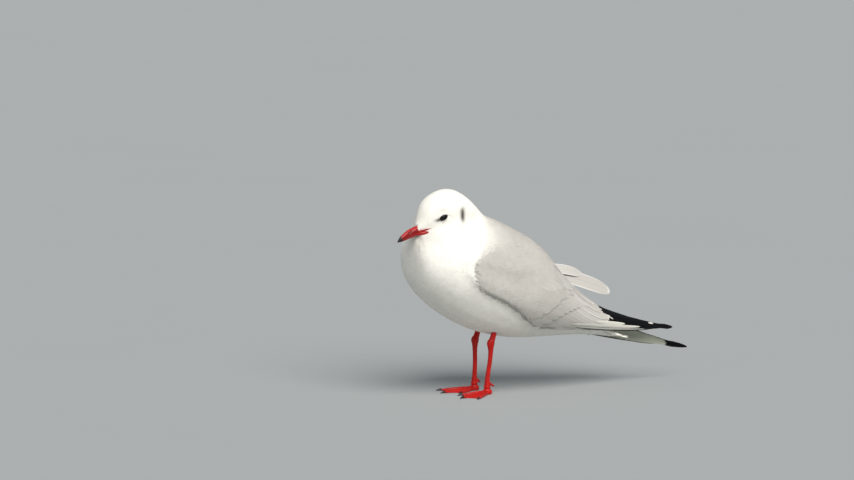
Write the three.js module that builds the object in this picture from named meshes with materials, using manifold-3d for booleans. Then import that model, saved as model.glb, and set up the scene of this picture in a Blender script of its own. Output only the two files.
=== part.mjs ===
// A black-headed gull in winter plumage, standing at rest, life size.
// Millimetres, +Z up. The bird faces -X, its left side is -Y, and the floor is Z = 0.
// Shapes are first laid out about the point on the floor midway between the legs, and the
// whole group is moved at the end so that the origin is the centre of the bird's footprint box.
import * as THREE from "three";
import { mergeVertices } from "three/addons/utils/BufferGeometryUtils.js";
import Module from "manifold-3d";

const wasm = await Module();
wasm.setup();

const DEG = Math.PI / 180;
const GAP = 0.3; // clearance where two pieces meet
const SLIVER = 0.04; // edges shorter than this are merged after a cut
const LEFT = -1; // side signs: the left side is towards -Y
const RIGHT = 1;

// ---- driving dimensions ----
const HEAD_CENTRE = new THREE.Vector3(-54, -2.5, 195.2);
const HEAD_TURN = 14 * DEG; // towards the bird's left
const HEAD_DIP = 16 * DEG; // bill below level
const EYE = { forward: 15.5, side: 16.4, up: 4, radius: 6.2 };
const BILL = { gape: 29, base: 41, tip: 68.5 };
const LEG = { side: 16, footX: -9.4, heelHeight: 6.5, ankleHeight: 55.5 };
const ANKLE_X = { left: -4.6, right: -8 };
const TOES = { inner: 29, middle: 39, outer: 36, spread: 26 * DEG, claw: 6 };
const FOOT_TURN = { left: 24 * DEG, right: -10 * DEG }; // away from the midline
const WEB_THICK = 1.1;
const TAIL = { thick: 2.4, slope: 12 * DEG, height: 62 };
const WING_THICK = 2.3; // of the folded wing over the body
const MANTLE_HALF = 13; // half width of the back between the wings
const WING_HOLLOW = 24; // behind this X there is air between the wings and the back
const RIGHT_WING_DROP = 22; // how much lower the right wing's tip hangs than the left one's
const RIGHT_WING_REACH = 17; // and how much further back it lies

// ---- colours ----
const WHITE = 0xf4f2ea;
const PEARL_GREY = 0xb9b8b4;
const BLACK = 0x14151a;
const BILL_RED = 0x9e2018;
const LEG_RED = 0xc4261a;
const CLAW_BLACK = 0x1c1512;
const EYE_BROWN = 0x1a110c;

function finish(color, roughness) {
  return new THREE.MeshStandardMaterial({ color, roughness, metalness: 0 });
}

// ---- shape tools ----

// Rows of numbers, taken as points of one smooth curve and sampled evenly between them.
function smoothRows(rows, count) {
  const at = (i, k) => rows[Math.min(Math.max(i, 0), rows.length - 1)][k];
  return Array.from({ length: count }, (_, n) => {
    const t = (n / (count - 1)) * (rows.length - 1);
    const i = Math.min(Math.floor(t), rows.length - 2);
    const s = t - i;
    return rows[0].map((_, k) => {
      const [a, b, c, d] = [at(i - 1, k), at(i, k), at(i + 1, k), at(i + 2, k)];
      const slopes = s * (c - a + s * (2 * a - 5 * b + 4 * c - d + s * (3 * b - a - 3 * c + d)));
      return b + slopes / 2;
    });
  });
}

// A closed solid through rings of points, each ring with the same number, with flat ends.
function loft(rings) {
  const around = rings[0].length;
  const points = rings.flat();
  const triangles = [];
  for (let r = 0; r + 1 < rings.length; r++) {
    for (let i = 0; i < around; i++) {
      const [a, b] = [r * around + i, r * around + ((i + 1) % around)];
      triangles.push([a, b, b + around], [a, b + around, a + around]);
    }
  }
  for (const [start, flip] of [[0, true], [(rings.length - 1) * around, false]]) {
    const middle = new THREE.Vector3();
    for (let i = 0; i < around; i++) middle.addScaledVector(points[start + i], 1 / around);
    points.push(middle);
    for (let i = 0; i < around; i++) {
      const [a, b] = [start + i, start + ((i + 1) % around)];
      triangles.push(flip ? [b, a, points.length - 1] : [a, b, points.length - 1]);
    }
  }
  const geometry = new THREE.BufferGeometry().setFromPoints(points);
  const volume = triangles.reduce(
    (sum, [a, b, c]) => sum + points[a].dot(points[b].clone().cross(points[c])),
    0,
  );
  geometry.setIndex(triangles.flatMap((t) => (volume < 0 ? t.slice().reverse() : t)));
  return geometry;
}

// One rib of a body: a ring between a top and a bottom point of the side outline,
// widest at the share `waist` of its height, grown outwards by `extra`.
function rib([topX, topZ, bottomX, bottomZ, halfWidth], around, extra = 0, waist = 0.48) {
  const top = new THREE.Vector3(topX, 0, topZ);
  const bottom = new THREE.Vector3(bottomX, 0, bottomZ);
  const up = top.clone().sub(bottom);
  const height = up.length();
  up.normalize();
  const centre = bottom.clone().addScaledVector(up, height * waist);
  return Array.from({ length: around }, (_, i) => {
    const angle = (i / around) * 2 * Math.PI;
    const reach = Math.sin(angle) > 0 ? height * (1 - waist) : height * waist;
    return centre
      .clone()
      .addScaledVector(up, Math.sin(angle) * (reach + extra))
      .add(new THREE.Vector3(0, Math.cos(angle) * (halfWidth + extra), 0));
  });
}

// A tapered limb along a list of [x, y, z, half depth along X, half width along Y] rows,
// grown by `extra`.
function limb(rows, count, around, extra = 0) {
  const sections = smoothRows(rows, count);
  const away = Math.sign(sections[0][2] - sections.at(-1)[2]);
  sections[0][2] += away * extra;
  sections.at(-1)[2] -= away * extra;
  return loft(
    sections.map(([x, y, z, depth, width]) =>
      Array.from({ length: around }, (_, i) => {
        const angle = (i / around) * 2 * Math.PI;
        const [dx, dy] = [Math.cos(angle) * (depth + extra), Math.sin(angle) * (width + extra)];
        return new THREE.Vector3(x + dx, y + dy, z);
      }),
    ),
  );
}

// A geometry as a solid, placed by a matrix.
function solidOf(geometry, matrix = new THREE.Matrix4()) {
  const bare = new THREE.BufferGeometry();
  bare.setAttribute("position", geometry.getAttribute("position").clone());
  bare.setIndex(geometry.index);
  const merged = mergeVertices(bare.applyMatrix4(matrix), 1e-4);
  return new wasm.Manifold(
    new wasm.Mesh({
      numProp: 3,
      vertProperties: merged.getAttribute("position").array,
      triVerts: new Uint32Array(merged.index.array),
    }),
  );
}

// The largest body of a solid, as a named mesh, with the slivers that cutting leaves merged.
function meshOf(name, solid, material) {
  const bodies = solid.decompose().sort((a, b) => b.volume() - a.volume());
  const { vertProperties, triVerts } = bodies[0].asOriginal().simplify(SLIVER).getMesh();
  const geometry = new THREE.BufferGeometry();
  geometry.setAttribute("position", new THREE.BufferAttribute(vertProperties, 3));
  geometry.setIndex(new THREE.BufferAttribute(triVerts, 1));
  geometry.computeVertexNormals();
  const mesh = new THREE.Mesh(geometry, material);
  mesh.name = name;
  return mesh;
}

// The two sides of a thin cut through a solid: the plane passes through two points of the
// side outline, and the first side returned is the one above it.
function partAlong(solid, [x0, z0], [x1, z1]) {
  const normal = new THREE.Vector3(z0 - z1, 0, x1 - x0).normalize();
  const offset = normal.x * x0 + normal.z * z0;
  return [
    solid.trimByPlane([normal.x, 0, normal.z], offset + GAP / 2),
    solid.trimByPlane([-normal.x, 0, -normal.z], -offset + GAP / 2),
  ];
}

// A slab over a closed side outline, from y0 to y1, used to pick out a region.
function slab(outline, y0, y1) {
  const geometry = new THREE.ExtrudeGeometry(outline, {
    depth: y1 - y0,
    bevelEnabled: false,
    curveSegments: 10,
  });
  // The outline's plane is X and Z; extruding runs along -Y after this turn.
  geometry.rotateX(Math.PI / 2);
  geometry.translate(0, y1, 0);
  return solidOf(geometry);
}

// ---- body ----

// Ribs from the breast to the tail: top x, top z, bottom x, bottom z, half width.
const TRUNK_RIBS = [
  [-94, 159, -94.5, 147, 9],
  [-92, 169, -94, 133.5, 24],
  [-85, 178, -89.5, 118.5, 35],
  [-67, 185, -78, 104, 44.5],
  [-42, 189.5, -62, 90.5, 49.5],
  [-14, 190, -43, 78.5, 50.5],
  [7, 180, -21, 68, 49.5],
  [25, 161, 4, 61, 45],
  [41, 139, 27, 57.5, 38.5],
  [57, 119, 49, 56.5, 31.5],
  [74, 103, 70, 56.5, 25.5],
  [94, 89, 92, 56.5, 20],
  [115, 78, 114, 55.5, 16],
  [135, 69, 135, 53, 13],
  [152, 61, 152, 50, 10],
];

// Ribs of the head in its own frame, where -X is forward: from the nape to the bill's base.
const HEAD_RIBS = [
  [45, -24, 45, -34, 14],
  [40, -13.5, 40, -34, 20],
  [35, -3, 35, -33, 22],
  [29, 9.5, 29, -31, 22.5],
  [20, 20.5, 20, -29, 23],
  [9, 26, 9, -28, 23.6],
  [-3, 27, -3, -27, 23.4],
  [-13, 25.6, -13, -25, 22],
  [-21, 21.8, -21, -21.5, 19.2],
  [-28, 15.6, -28, -18, 15],
  [-33.5, 8.6, -33.5, -14.4, 11],
  [-38.5, 3.4, -38.5, -11.4, 7.2],
  [-42, 1, -42, -9.6, 5],
];

// The full neck that joins them: x, y, height, half depth and half width of level rings.
const NECK_RINGS = [
  [-50, -1.5, 206, 18, 16],
  [-52, -1.5, 196, 27, 23],
  [-54, -1, 186, 33, 28],
  [-56, -0.5, 175, 36.5, 34],
  [-56, 0, 163, 38.5, 40],
  [-54, 0, 150, 36, 42],
];

const headFrame = new THREE.Group();
headFrame.position.copy(HEAD_CENTRE);
headFrame.rotation.set(0, -HEAD_DIP, HEAD_TURN, "ZYX");
headFrame.updateMatrixWorld(true);

function trunkLoft(extra = 0) {
  return solidOf(loft(smoothRows(TRUNK_RIBS, 24).map((row) => rib(row, 22, extra))));
}

function headLoft(extra = 0) {
  const rings = smoothRows(HEAD_RIBS, 18).map((row) => rib(row, 20, extra, 0.52));
  return solidOf(loft(rings), headFrame.matrixWorld);
}

function neckLoft(extra = 0) {
  return solidOf(limb(NECK_RINGS, 11, 22, extra));
}

function bodyLoft(extra = 0) {
  return trunkLoft(extra).add(headLoft(extra)).add(neckLoft(extra));
}

// ---- bill, in the head's frame ----

// Height of the line where the mandibles meet: level, then drooping to the tip.
function meetingLine(x) {
  return -4.9 - 0.0087 * Math.max(0, -52 - x) ** 2;
}

// The part of the bill above or below that line, grown by `extra`.
function mandible(upper, extra = 0) {
  // Rows: x, height of the ridge or keel from the meeting line, half width.
  const rows = upper
    ? [
        [-BILL.gape, 1.4, 6.6],
        [-35, 4, 5.8],
        [-BILL.base, 5.9, 4.4],
        [-50, 6, 3.4],
        [-58, 4.6, 2.8],
        [-64, 3.2, 2.1],
        [-BILL.tip, 0.8, 0.7],
      ]
    : [
        [-BILL.gape, -1.2, 6.4],
        [-35, -3, 5.4],
        [-BILL.base, -3.7, 4.2],
        [-50, -3.3, 3.2],
        [-57, -2.9, 2.6],
        [-62, -2.1, 1.9],
        [-66.4, -0.6, 0.7],
      ];
  const steps = 7;
  const away = upper ? 1 : -1;
  const sections = smoothRows(rows, 12);
  sections[0][0] += extra;
  return loft(
    sections.map(([x, height, halfWidth]) => {
      const edge = meetingLine(x) + away * (GAP / 2 - extra);
      return Array.from({ length: steps + 1 }, (_, i) => {
        const angle = (i / steps) * Math.PI;
        const rise = Math.sin(angle) ** 0.8 * (height + away * 2 * extra);
        return new THREE.Vector3(x, Math.cos(angle) * (halfWidth + extra), edge + rise);
      });
    }),
  );
}

// ---- wings ----

// Ribs of the shape that both folded wings make over the back, out to the wing tips.
const WING_RIBS = [
  [-67, 186, -78, 99, 47],
  [-42, 192.5, -62, 86.5, 53],
  [-14, 193.5, -43, 74, 56.5],
  [8, 186.5, -21, 65, 57],
  [27, 176.5, 4, 58, 55.5],
  [46, 166, 27, 54.5, 52.5],
  [63, 151.5, 49, 54, 48],
  [79, 131, 70, 54, 42.5],
  [97, 112, 92, 54, 35.5],
  [117, 96, 116, 54, 28],
  [138, 84.5, 138, 54, 21.5],
  [160, 76, 160, 53, 15.5],
  [182, 69.5, 182, 52, 11],
  [203, 63.8, 203, 51.5, 7],
  [218, 59.5, 218, 52.5, 3.4],
];

// The wing's lower edge and front, in side view, from the tip forward and over the back.
function wingOutline() {
  const outline = new THREE.Shape();
  outline.moveTo(222, 57.6);
  outline.splineThru(
    [
      [178, 57.4],
      [127, 61],
      [75, 66.5],
      [44, 69.5],
      [27, 79],
      [12, 92],
      [-4, 103],
      [-24, 112.5],
      [-38, 123],
      [-46, 136],
      [-42, 150],
      [-32, 164],
      [-20, 178],
      [-16, 190],
    ].map(([x, z]) => new THREE.Vector2(x, z)),
  );
  outline.lineTo(-16, 205);
  outline.lineTo(222, 205);
  outline.closePath();
  return outline;
}

// The right wing hangs a little open: it sinks and reaches back more towards its tip.
function hang(solid) {
  return solid.warp((vertex) => {
    const share = THREE.MathUtils.smoothstep(vertex[0], -10, 330) / 0.74;
    vertex[0] += RIGHT_WING_REACH * share;
    vertex[2] -= RIGHT_WING_DROP * share;
  });
}

function wingLoft(inset) {
  return solidOf(loft(smoothRows(WING_RIBS, 26).map((row) => rib(row, 24, -inset, 0.45))));
}

// The layer between the wings' outer shape and the body, with both wings in one.
function wingLayer() {
  return wingLoft(0)
    .subtract(wingLoft(WING_THICK).trimByPlane([1, 0, 0], WING_HOLLOW))
    .intersect(slab(wingOutline(), -80, 80));
}

// Where the coverts end, and where the secondaries end, in side view.
const COVERTS_END = [[66, 40], [86, 220]];
const SECONDARIES_END = [[132, 40], [140, 220]];

// One folded wing, parted at those ends, clear of `body`.
function wing(side, body) {
  const closed = wingLayer().trimByPlane([0, side, 0], GAP);
  const shell = (side === LEFT ? closed : hang(closed)).subtract(body);
  const [inner, rest] = partAlong(shell, ...COVERTS_END);
  const coverts = inner.trimByPlane([0, side, 0], MANTLE_HALF + GAP / 2);
  const [secondaries, primaries] = partAlong(rest, ...SECONDARIES_END);
  return { coverts, secondaries, primaries };
}

// The back between the wings.
function mantle(body) {
  const half = MANTLE_HALF - GAP / 2;
  return partAlong(wingLayer().subtract(body), ...COVERTS_END)[0]
    .trimByPlane([0, 1, 0], -half)
    .trimByPlane([0, -1, 0], -half);
}

// A long feather that stands off the back, as a thin curved plate.
function liftedFeather(root, tip, arch, halfWidth, lean, thick = 1) {
  const along = tip.clone().sub(root);
  const across = new THREE.Vector3(0, Math.cos(lean), -Math.sin(lean));
  const out = across.clone().cross(along).normalize();
  if (out.z < 0) out.negate();
  const steps = 9;
  return loft(
    Array.from({ length: steps + 1 }, (_, i) => {
      const t = i / steps;
      const wide = halfWidth * Math.min(1, 0.55 + t) * Math.sqrt(Math.max(1 - t ** 6, 0.02));
      const middle = root
        .clone()
        .addScaledVector(along, t)
        .addScaledVector(out, arch * Math.sin(t * Math.PI));
      return [
        [-1, 0],
        [-0.5, 0.5],
        [0, 0.7],
        [0.5, 0.5],
        [1, 0],
        [0.5, -0.5],
        [0, -0.3],
        [-0.5, -0.5],
      ].map(([a, b]) =>
        middle
          .clone()
          .addScaledVector(across, a * wide)
          .addScaledVector(out, b * thick + (1 - a * a) * 1.2),
      );
    }),
  );
}

// ---- tail ----

// The tail feathers as one flat fan that slopes down to the rear, grown by `extra`.
function tailFan(extra = 0) {
  const [front, end, rootHalf, endHalf] = [112 - extra, 166 + extra, 11 + extra, 17 + extra];
  const outline = new THREE.Shape();
  outline.moveTo(front, -rootHalf);
  outline.lineTo(end - 6, -endHalf);
  outline.quadraticCurveTo(end, -endHalf + 1, end, -endHalf + 8);
  outline.lineTo(end, endHalf - 8);
  outline.quadraticCurveTo(end, endHalf - 1, end - 6, endHalf);
  outline.lineTo(front, rootHalf);
  outline.closePath();
  const fan = new THREE.ExtrudeGeometry(outline, {
    depth: TAIL.thick + 2 * extra,
    bevelEnabled: false,
    curveSegments: 4,
  });
  fan.translate(-front, 0, -TAIL.thick / 2 - extra);
  fan.rotateY(TAIL.slope);
  return solidOf(fan.translate(front, 0, TAIL.height));
}

// ---- legs and feet ----

// The bare part above the ankle and the long bone below it, grown by `extra`.
function leg(side, name, extra = 0) {
  const y = side * LEG.side;
  const [ankleX, footX] = [ANKLE_X[name], LEG.footX];
  const [ankleZ, heelZ] = [LEG.ankleHeight, LEG.heelHeight];
  const shank = limb(
    [
      [ankleX + 6, y, ankleZ + 24, 4.2, 3.8],
      [ankleX + 4, y, ankleZ + 14, 3.3, 3],
      [ankleX + 1.8, y, ankleZ + 6, 3, 2.8],
      [ankleX + 0.2, y, ankleZ + 2.6, 3.8, 3.2],
    ],
    6,
    10,
    extra,
  );
  const tarsus = limb(
    [
      [ankleX - 0.2, y, ankleZ + 2.3, 3.9, 3.2],
      [ankleX - 0.9, y, ankleZ - 1, 4.4, 3.4],
      [ankleX - 0.8, y, ankleZ - 5, 3.3, 2.7],
      [ankleX - 0.9, y, ankleZ - 12, 2.5, 2.1],
      [(ankleX + footX) / 2, y, (ankleZ + heelZ) / 2, 2.4, 1.9],
      [footX + 0.2, y, heelZ + 12, 2.5, 2.1],
      [footX, y, heelZ + 5, 3, 2.8],
      [footX - 0.2, y, heelZ + 0.6, 3.8, 3.6],
    ],
    12,
    10,
    extra,
  );
  return { shank: solidOf(shank), tarsus: solidOf(tarsus) };
}

// A toe lying on the floor along -X from the foot's root, flat underneath.
function toe(length, root = 2.7, tip = 1.7) {
  const rows = Array.from({ length: 4 }, (_, i) => {
    const t = i / 3;
    const radius = root + (tip - root) * t;
    return [-length * t, radius * 0.75, radius, radius * (1 - 0.5 * t ** 6)];
  });
  return loft(
    rows.map(([x, z, width, height]) =>
      Array.from({ length: 8 }, (_, i) => {
        const angle = (i / 8) * 2 * Math.PI;
        return new THREE.Vector3(x, Math.cos(angle) * width, z + Math.sin(angle) * height);
      }),
    ),
  );
}

// A claw from a toe's end, curving down to its point.
function claw(length = TOES.claw, thick = 1.25) {
  const steps = 4;
  return loft(
    Array.from({ length: steps + 1 }, (_, i) => {
      const t = i / steps;
      const radius = thick * (1 - t) ** 0.7 + 0.18;
      return Array.from({ length: 6 }, (_, k) => {
        const angle = (k / 6) * 2 * Math.PI;
        return new THREE.Vector3(
          -length * t,
          Math.cos(angle) * radius * 0.8,
          1.7 - 1.25 * t * t + Math.sin(angle) * radius,
        );
      });
    }),
  );
}

// The three front toes of a foot: name, length, and angle from the middle toe, where
// plus is away from the midline.
function toesOf() {
  return [
    ["inner", TOES.inner, -TOES.spread],
    ["middle", TOES.middle, 0],
    ["outer", TOES.outer, TOES.spread],
  ];
}

// Turns a toe on the floor by its angle away from the midline and sets it at the foot.
function onFoot(side, angle) {
  return new THREE.Matrix4()
    .makeTranslation(LEG.footX, side * LEG.side, 0)
    .multiply(new THREE.Matrix4().makeRotationZ(-side * angle));
}

function webSolid(side, turn) {
  const reach = (length, angle) => {
    const a = -side * (angle + turn);
    return new THREE.Vector2(-Math.cos(a) * length, -Math.sin(a) * length);
  };
  const [inner, middle, outer] = toesOf();
  const outline = new THREE.Shape();
  const heel = reach(-2, 0);
  outline.moveTo(heel.x, heel.y);
  const tips = [inner, middle, outer].map(([, length, angle]) => reach(length - 1.5, angle));
  const dips = [
    reach(TOES.inner * 0.84, inner[2] / 2),
    reach(TOES.middle * 0.78, outer[2] / 2),
  ];
  outline.lineTo(tips[0].x, tips[0].y);
  outline.quadraticCurveTo(dips[0].x, dips[0].y, tips[1].x, tips[1].y);
  outline.quadraticCurveTo(dips[1].x, dips[1].y, tips[2].x, tips[2].y);
  outline.closePath();
  const web = new THREE.ExtrudeGeometry(outline, {
    depth: WEB_THICK,
    bevelEnabled: false,
    curveSegments: 4,
  });
  web.translate(LEG.footX, side * LEG.side, 0);
  return solidOf(web);
}

function foot(side, name) {
  const turn = FOOT_TURN[name];
  const root = new THREE.SphereGeometry(1, 10, 7);
  root.scale(5.4, 4.6, 4.8);
  root.translate(LEG.footX, side * LEG.side, 2.4);
  let solid = webSolid(side, turn).add(solidOf(root));
  const claws = [];
  for (const [toeName, length, angle] of toesOf()) {
    const place = onFoot(side, angle + turn);
    solid = solid.add(solidOf(toe(length), place));
    const tip = new THREE.Matrix4().makeTranslation(-length - GAP, 0, 0);
    claws.push([toeName, solidOf(claw(), place.clone().multiply(tip))]);
  }
  return {
    sole: solid.trimByPlane([0, 0, 1], 0),
    claws,
  };
}

// The small hind toe, high on the inner back of the foot, with its claw.
function hallux(side, turn) {
  const place = new THREE.Matrix4()
    .makeTranslation(LEG.footX + 3.1, side * (LEG.side - 1.8), 10)
    .multiply(new THREE.Matrix4().makeRotationZ(Math.PI - side * (turn - 30 * DEG)))
    .multiply(new THREE.Matrix4().makeRotationY(-25 * DEG));
  return solidOf(toe(6.4, 1.5, 0.7), place);
}

// ---- assembly ----

const gull = new THREE.Group();
const feather = finish(WHITE, 0.85);
const greyFeather = finish(PEARL_GREY, 0.8);
const blackFeather = finish(BLACK, 0.6);
const redSkin = finish(LEG_RED, 0.5);
const redHorn = finish(BILL_RED, 0.35);
const claws = finish(CLAW_BLACK, 0.4);

let whole = bodyLoft();
for (const upper of [true, false]) {
  whole = whole.subtract(solidOf(mandible(upper, GAP), headFrame.matrixWorld));
}

const eyes = [LEFT, RIGHT].map((side) => {
  const centre = new THREE.Vector3(-EYE.forward, side * EYE.side, EYE.up);
  const ball = (radius) =>
    new THREE.SphereGeometry(radius, 14, 8).translate(centre.x, centre.y, centre.z);
  whole = whole.subtract(solidOf(ball(EYE.radius + GAP), headFrame.matrixWorld));
  return ball(EYE.radius);
});

const [headPart, below] = partAlong(whole, [-94, 168], [-14, 187]);
const [neckPart, belowNeck] = partAlong(below, [-95, 136], [6, 181]);
const [tailRoot, trunkPart] = partAlong(belowNeck, [128, 120], [132, 30]);

gull.add(meshOf("head", headPart, feather));
gull.add(meshOf("neck", neckPart, feather));

for (const [name, upper] of [["bill_upper", true], ["bill_lower", false]]) {
  const mesh = new THREE.Mesh(mandible(upper), redHorn);
  mesh.name = name;
  headFrame.add(mesh);
}
eyes.forEach((geometry, i) => {
  const mesh = new THREE.Mesh(geometry, finish(EYE_BROWN, 0.1));
  mesh.name = ["eye_left", "eye_right"][i];
  headFrame.add(mesh);
});
gull.add(headFrame);

const bodyRoom = bodyLoft(GAP);
const tail = tailRoot.add(tailFan().trimByPlane([1, 0, 0], 131));
gull.add(meshOf("tail", tail, feather));
gull.add(meshOf("trunk", trunkPart, feather));

gull.add(meshOf("mantle", mantle(bodyRoom), greyFeather));

for (const [side, name] of [[LEFT, "left"], [RIGHT, "right"]]) {
  const { coverts, secondaries, primaries } = wing(side, bodyRoom.add(tailFan(GAP)));
  gull.add(meshOf(`wing_${name}`, coverts, greyFeather));
  gull.add(meshOf(`secondaries_${name}`, secondaries, greyFeather));
  gull.add(meshOf(`primaries_${name}`, primaries, blackFeather));

  const { shank, tarsus } = leg(side, name);
  const { sole, claws: clawSolids } = foot(side, name);
  const room = leg(side, name, GAP);
  gull.add(meshOf(`shank_${name}`, shank.subtract(bodyRoom).subtract(room.tarsus), redSkin));
  gull.add(meshOf(`tarsus_${name}`, tarsus, redSkin));
  gull.add(meshOf(`foot_${name}`, sole.subtract(room.tarsus), redSkin));
  const hind = hallux(side, FOOT_TURN[name]).subtract(room.tarsus);
  gull.add(meshOf(`hallux_${name}`, hind.subtract(sole), redSkin));
  for (const [toeName, solid] of clawSolids) {
    gull.add(meshOf(`claw_${name}_${toeName}`, solid, claws));
  }
}

const liftedRoom = hang(wingLoft(-GAP)).add(wingLoft(-GAP));
const lifted = [
  [new THREE.Vector3(70, 10, 131), new THREE.Vector3(150, 15, 97.5), 4, 10],
  [new THREE.Vector3(66, 7, 127), new THREE.Vector3(122, 9, 111.5), 7.5, 8.5],
].map(([root, tip, arch, halfWidth]) =>
  solidOf(liftedFeather(root, tip, arch, halfWidth, 30 * DEG)),
);
const tertials = lifted[0].add(lifted[1]).subtract(liftedRoom);
gull.add(meshOf("tertials_right", tertials, greyFeather));

const box = new THREE.Box3().setFromObject(gull);
const centre = box.getCenter(new THREE.Vector3());
gull.position.set(-centre.x, -centre.y, -box.min.z);

export default gull;
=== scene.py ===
"""A black-headed gull at rest in winter plumage: skin, feathers, bill, eyes and legs."""
import math

import bpy
import numpy as np
from bpy.props import FloatProperty, FloatVectorProperty, IntProperty, PointerProperty
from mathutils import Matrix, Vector
from mathutils.bvhtree import BVHTree
from mathutils.kdtree import KDTree


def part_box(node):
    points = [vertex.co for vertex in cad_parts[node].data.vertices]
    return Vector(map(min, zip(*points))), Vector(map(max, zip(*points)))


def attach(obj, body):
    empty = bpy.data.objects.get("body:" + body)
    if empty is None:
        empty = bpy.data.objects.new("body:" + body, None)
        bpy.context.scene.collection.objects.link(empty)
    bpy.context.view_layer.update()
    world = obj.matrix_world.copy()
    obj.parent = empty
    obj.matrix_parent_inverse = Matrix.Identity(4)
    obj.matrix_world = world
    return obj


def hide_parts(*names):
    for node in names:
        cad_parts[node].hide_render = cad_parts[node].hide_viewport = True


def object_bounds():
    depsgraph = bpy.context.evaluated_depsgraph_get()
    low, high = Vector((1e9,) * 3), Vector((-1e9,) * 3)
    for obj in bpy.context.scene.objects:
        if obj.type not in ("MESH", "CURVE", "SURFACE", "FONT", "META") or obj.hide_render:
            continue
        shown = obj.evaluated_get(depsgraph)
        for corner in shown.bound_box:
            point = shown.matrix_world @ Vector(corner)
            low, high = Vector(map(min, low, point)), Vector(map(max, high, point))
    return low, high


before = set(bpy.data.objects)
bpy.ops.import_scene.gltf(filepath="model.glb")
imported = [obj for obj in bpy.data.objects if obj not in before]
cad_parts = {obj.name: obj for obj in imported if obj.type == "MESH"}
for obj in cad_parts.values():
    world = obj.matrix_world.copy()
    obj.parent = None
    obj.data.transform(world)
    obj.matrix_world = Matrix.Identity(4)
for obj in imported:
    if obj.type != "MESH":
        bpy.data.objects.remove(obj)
CAD_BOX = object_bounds()

bl_info = {
    "name": "Resting gull",
    "version": (1, 0, 0),
    "blender": (4, 5, 0),
    "location": "View3D > Sidebar > Gull",
    "description": "Skin, plumage, bill, eyes and legs of a resting gull over its packed model",
    "category": "Add Mesh",
}

MM = 0.001
SIDES = {"left": -1, "right": 1}
FLESH = ("head", "neck", "trunk", "tail", "mantle") + tuple(
    part + side for part in ("wing_", "secondaries_") for side in SIDES
)
UP = Vector((0, 0, 1))


def tint(code):
    """A colour's linear values from its six hexadecimal digits."""
    parts = [int(code[i : i + 2], 16) / 255 for i in (0, 2, 4)]
    return tuple(c / 12.92 if c <= 0.04045 else ((c + 0.055) / 1.055) ** 2.4 for c in parts)


def length(name, default, description):
    """A setting in metres."""
    return FloatProperty(
        name=name, description=description, default=default, min=0, unit="LENGTH", precision=4
    )


def colour(name, code, description):
    """A colour setting."""
    return FloatVectorProperty(
        name=name, description=description, default=tint(code), size=3, min=0, max=1, subtype="COLOR"
    )


# ---------------------------------------------------------------- settings


class GullSkin(bpy.types.PropertyGroup):
    voxel: length("Grain", 1.2 * MM, "Size of the skin's mesh cells")
    swell: length("Swell", 2.6 * MM, "How far each solid swells to meet its neighbours")
    wall: length("Thinnest wall", 0.8 * MM, "Thinnest that the skin of a folded wing may be")
    head_depth: length("Head coat", 0.6 * MM, "Depth of the coat over the head")
    body_depth: length("Body coat", 1.4 * MM, "Depth of the coat over the body")
    socket: length("Eye socket", 1.6 * MM, "How much deeper the skin lies under the eyes")
    snout: length("Bill base", 2.6 * MM, "How much deeper the skin lies under the base of the bill")
    fold: length("Scapular fold", 2.6 * MM, "How far the coverts lie below the scapulars")
    tuck: length("Wing tuck", 1.2 * MM, "How far the wing's front and lower edges dip in")
    flank: length("Flank roll", 2.0 * MM, "How far the flank swells up beside the wing")
    smoothing: IntProperty(name="Smoothing", description="Smoothing passes over the skin", default=14, min=1)


class GullCoat(bpy.types.PropertyGroup):
    seed: IntProperty(name="Seed", description="Start of the random draws", default=7, min=0)
    head_length: length("Head tuft", 5.2 * MM, "Length of the tufts on the crown and cheeks")
    body_length: length("Body tuft", 13.5 * MM, "Length of the tufts on breast and belly")
    wing_length: length("Covert tuft", 15 * MM, "Length of the tufts on wing and back")
    head_gap: length("Head spacing", 1.08 * MM, "Distance between tufts on the head")
    body_gap: length("Body spacing", 2.2 * MM, "Distance between tufts on the body")
    wing_gap: length("Covert spacing", 2.3 * MM, "Distance between tufts on wing and back")


class GullColours(bpy.types.PropertyGroup):
    white: colour("White", "f6f3ea", "Head, breast, belly and tail")
    grey: colour("Grey", "c0bcb5", "Back and wings")
    pale: colour("Pale fringe", "dbd8d2", "Edges and tips of the grey feathers")
    dusk: colour("Dusk", "33261b", "Ear spot and the smudges round the eye")
    black: colour("Black", "08090b", "Ends of the longest wing feathers")
    # A duller white than the body's, with painted shade, for the tail and the pale webs.
    shaded_web: colour("Pale web", "d2cfc5", "Tail and the pale webs of the longest wing feathers")
    # Under side of the longest wing feathers: partly their own grey, partly painted shade with a greenish
    # cast.
    underside_grey_and_shade: colour("Underside", "a9ab9c", "Under side of the longest wing feathers")
    bill: colour("Bill", "8a0b0e", "Horn of the bill")
    # Paler horn: even tone on the lower half and the gape, painted highlight on the upward-facing top of the
    # upper half.
    bill_pale_and_lit_top: colour("Bill ridge", "bd1f1c", "Lighter horn along the ridge of the bill")
    tip: colour("Bill tip", "1a0b0c", "Dark end of the bill and the claws")
    # Painted shade for the creases between the scales.
    leg: colour("Leg", "bc1207", "Scaled skin of legs and feet")
    leg_crease_shade: colour("Leg creases", "6c0806", "Creases between the scales of the legs")
    iris: colour("Iris", "1a100b", "Ring round the pupil")


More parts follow.
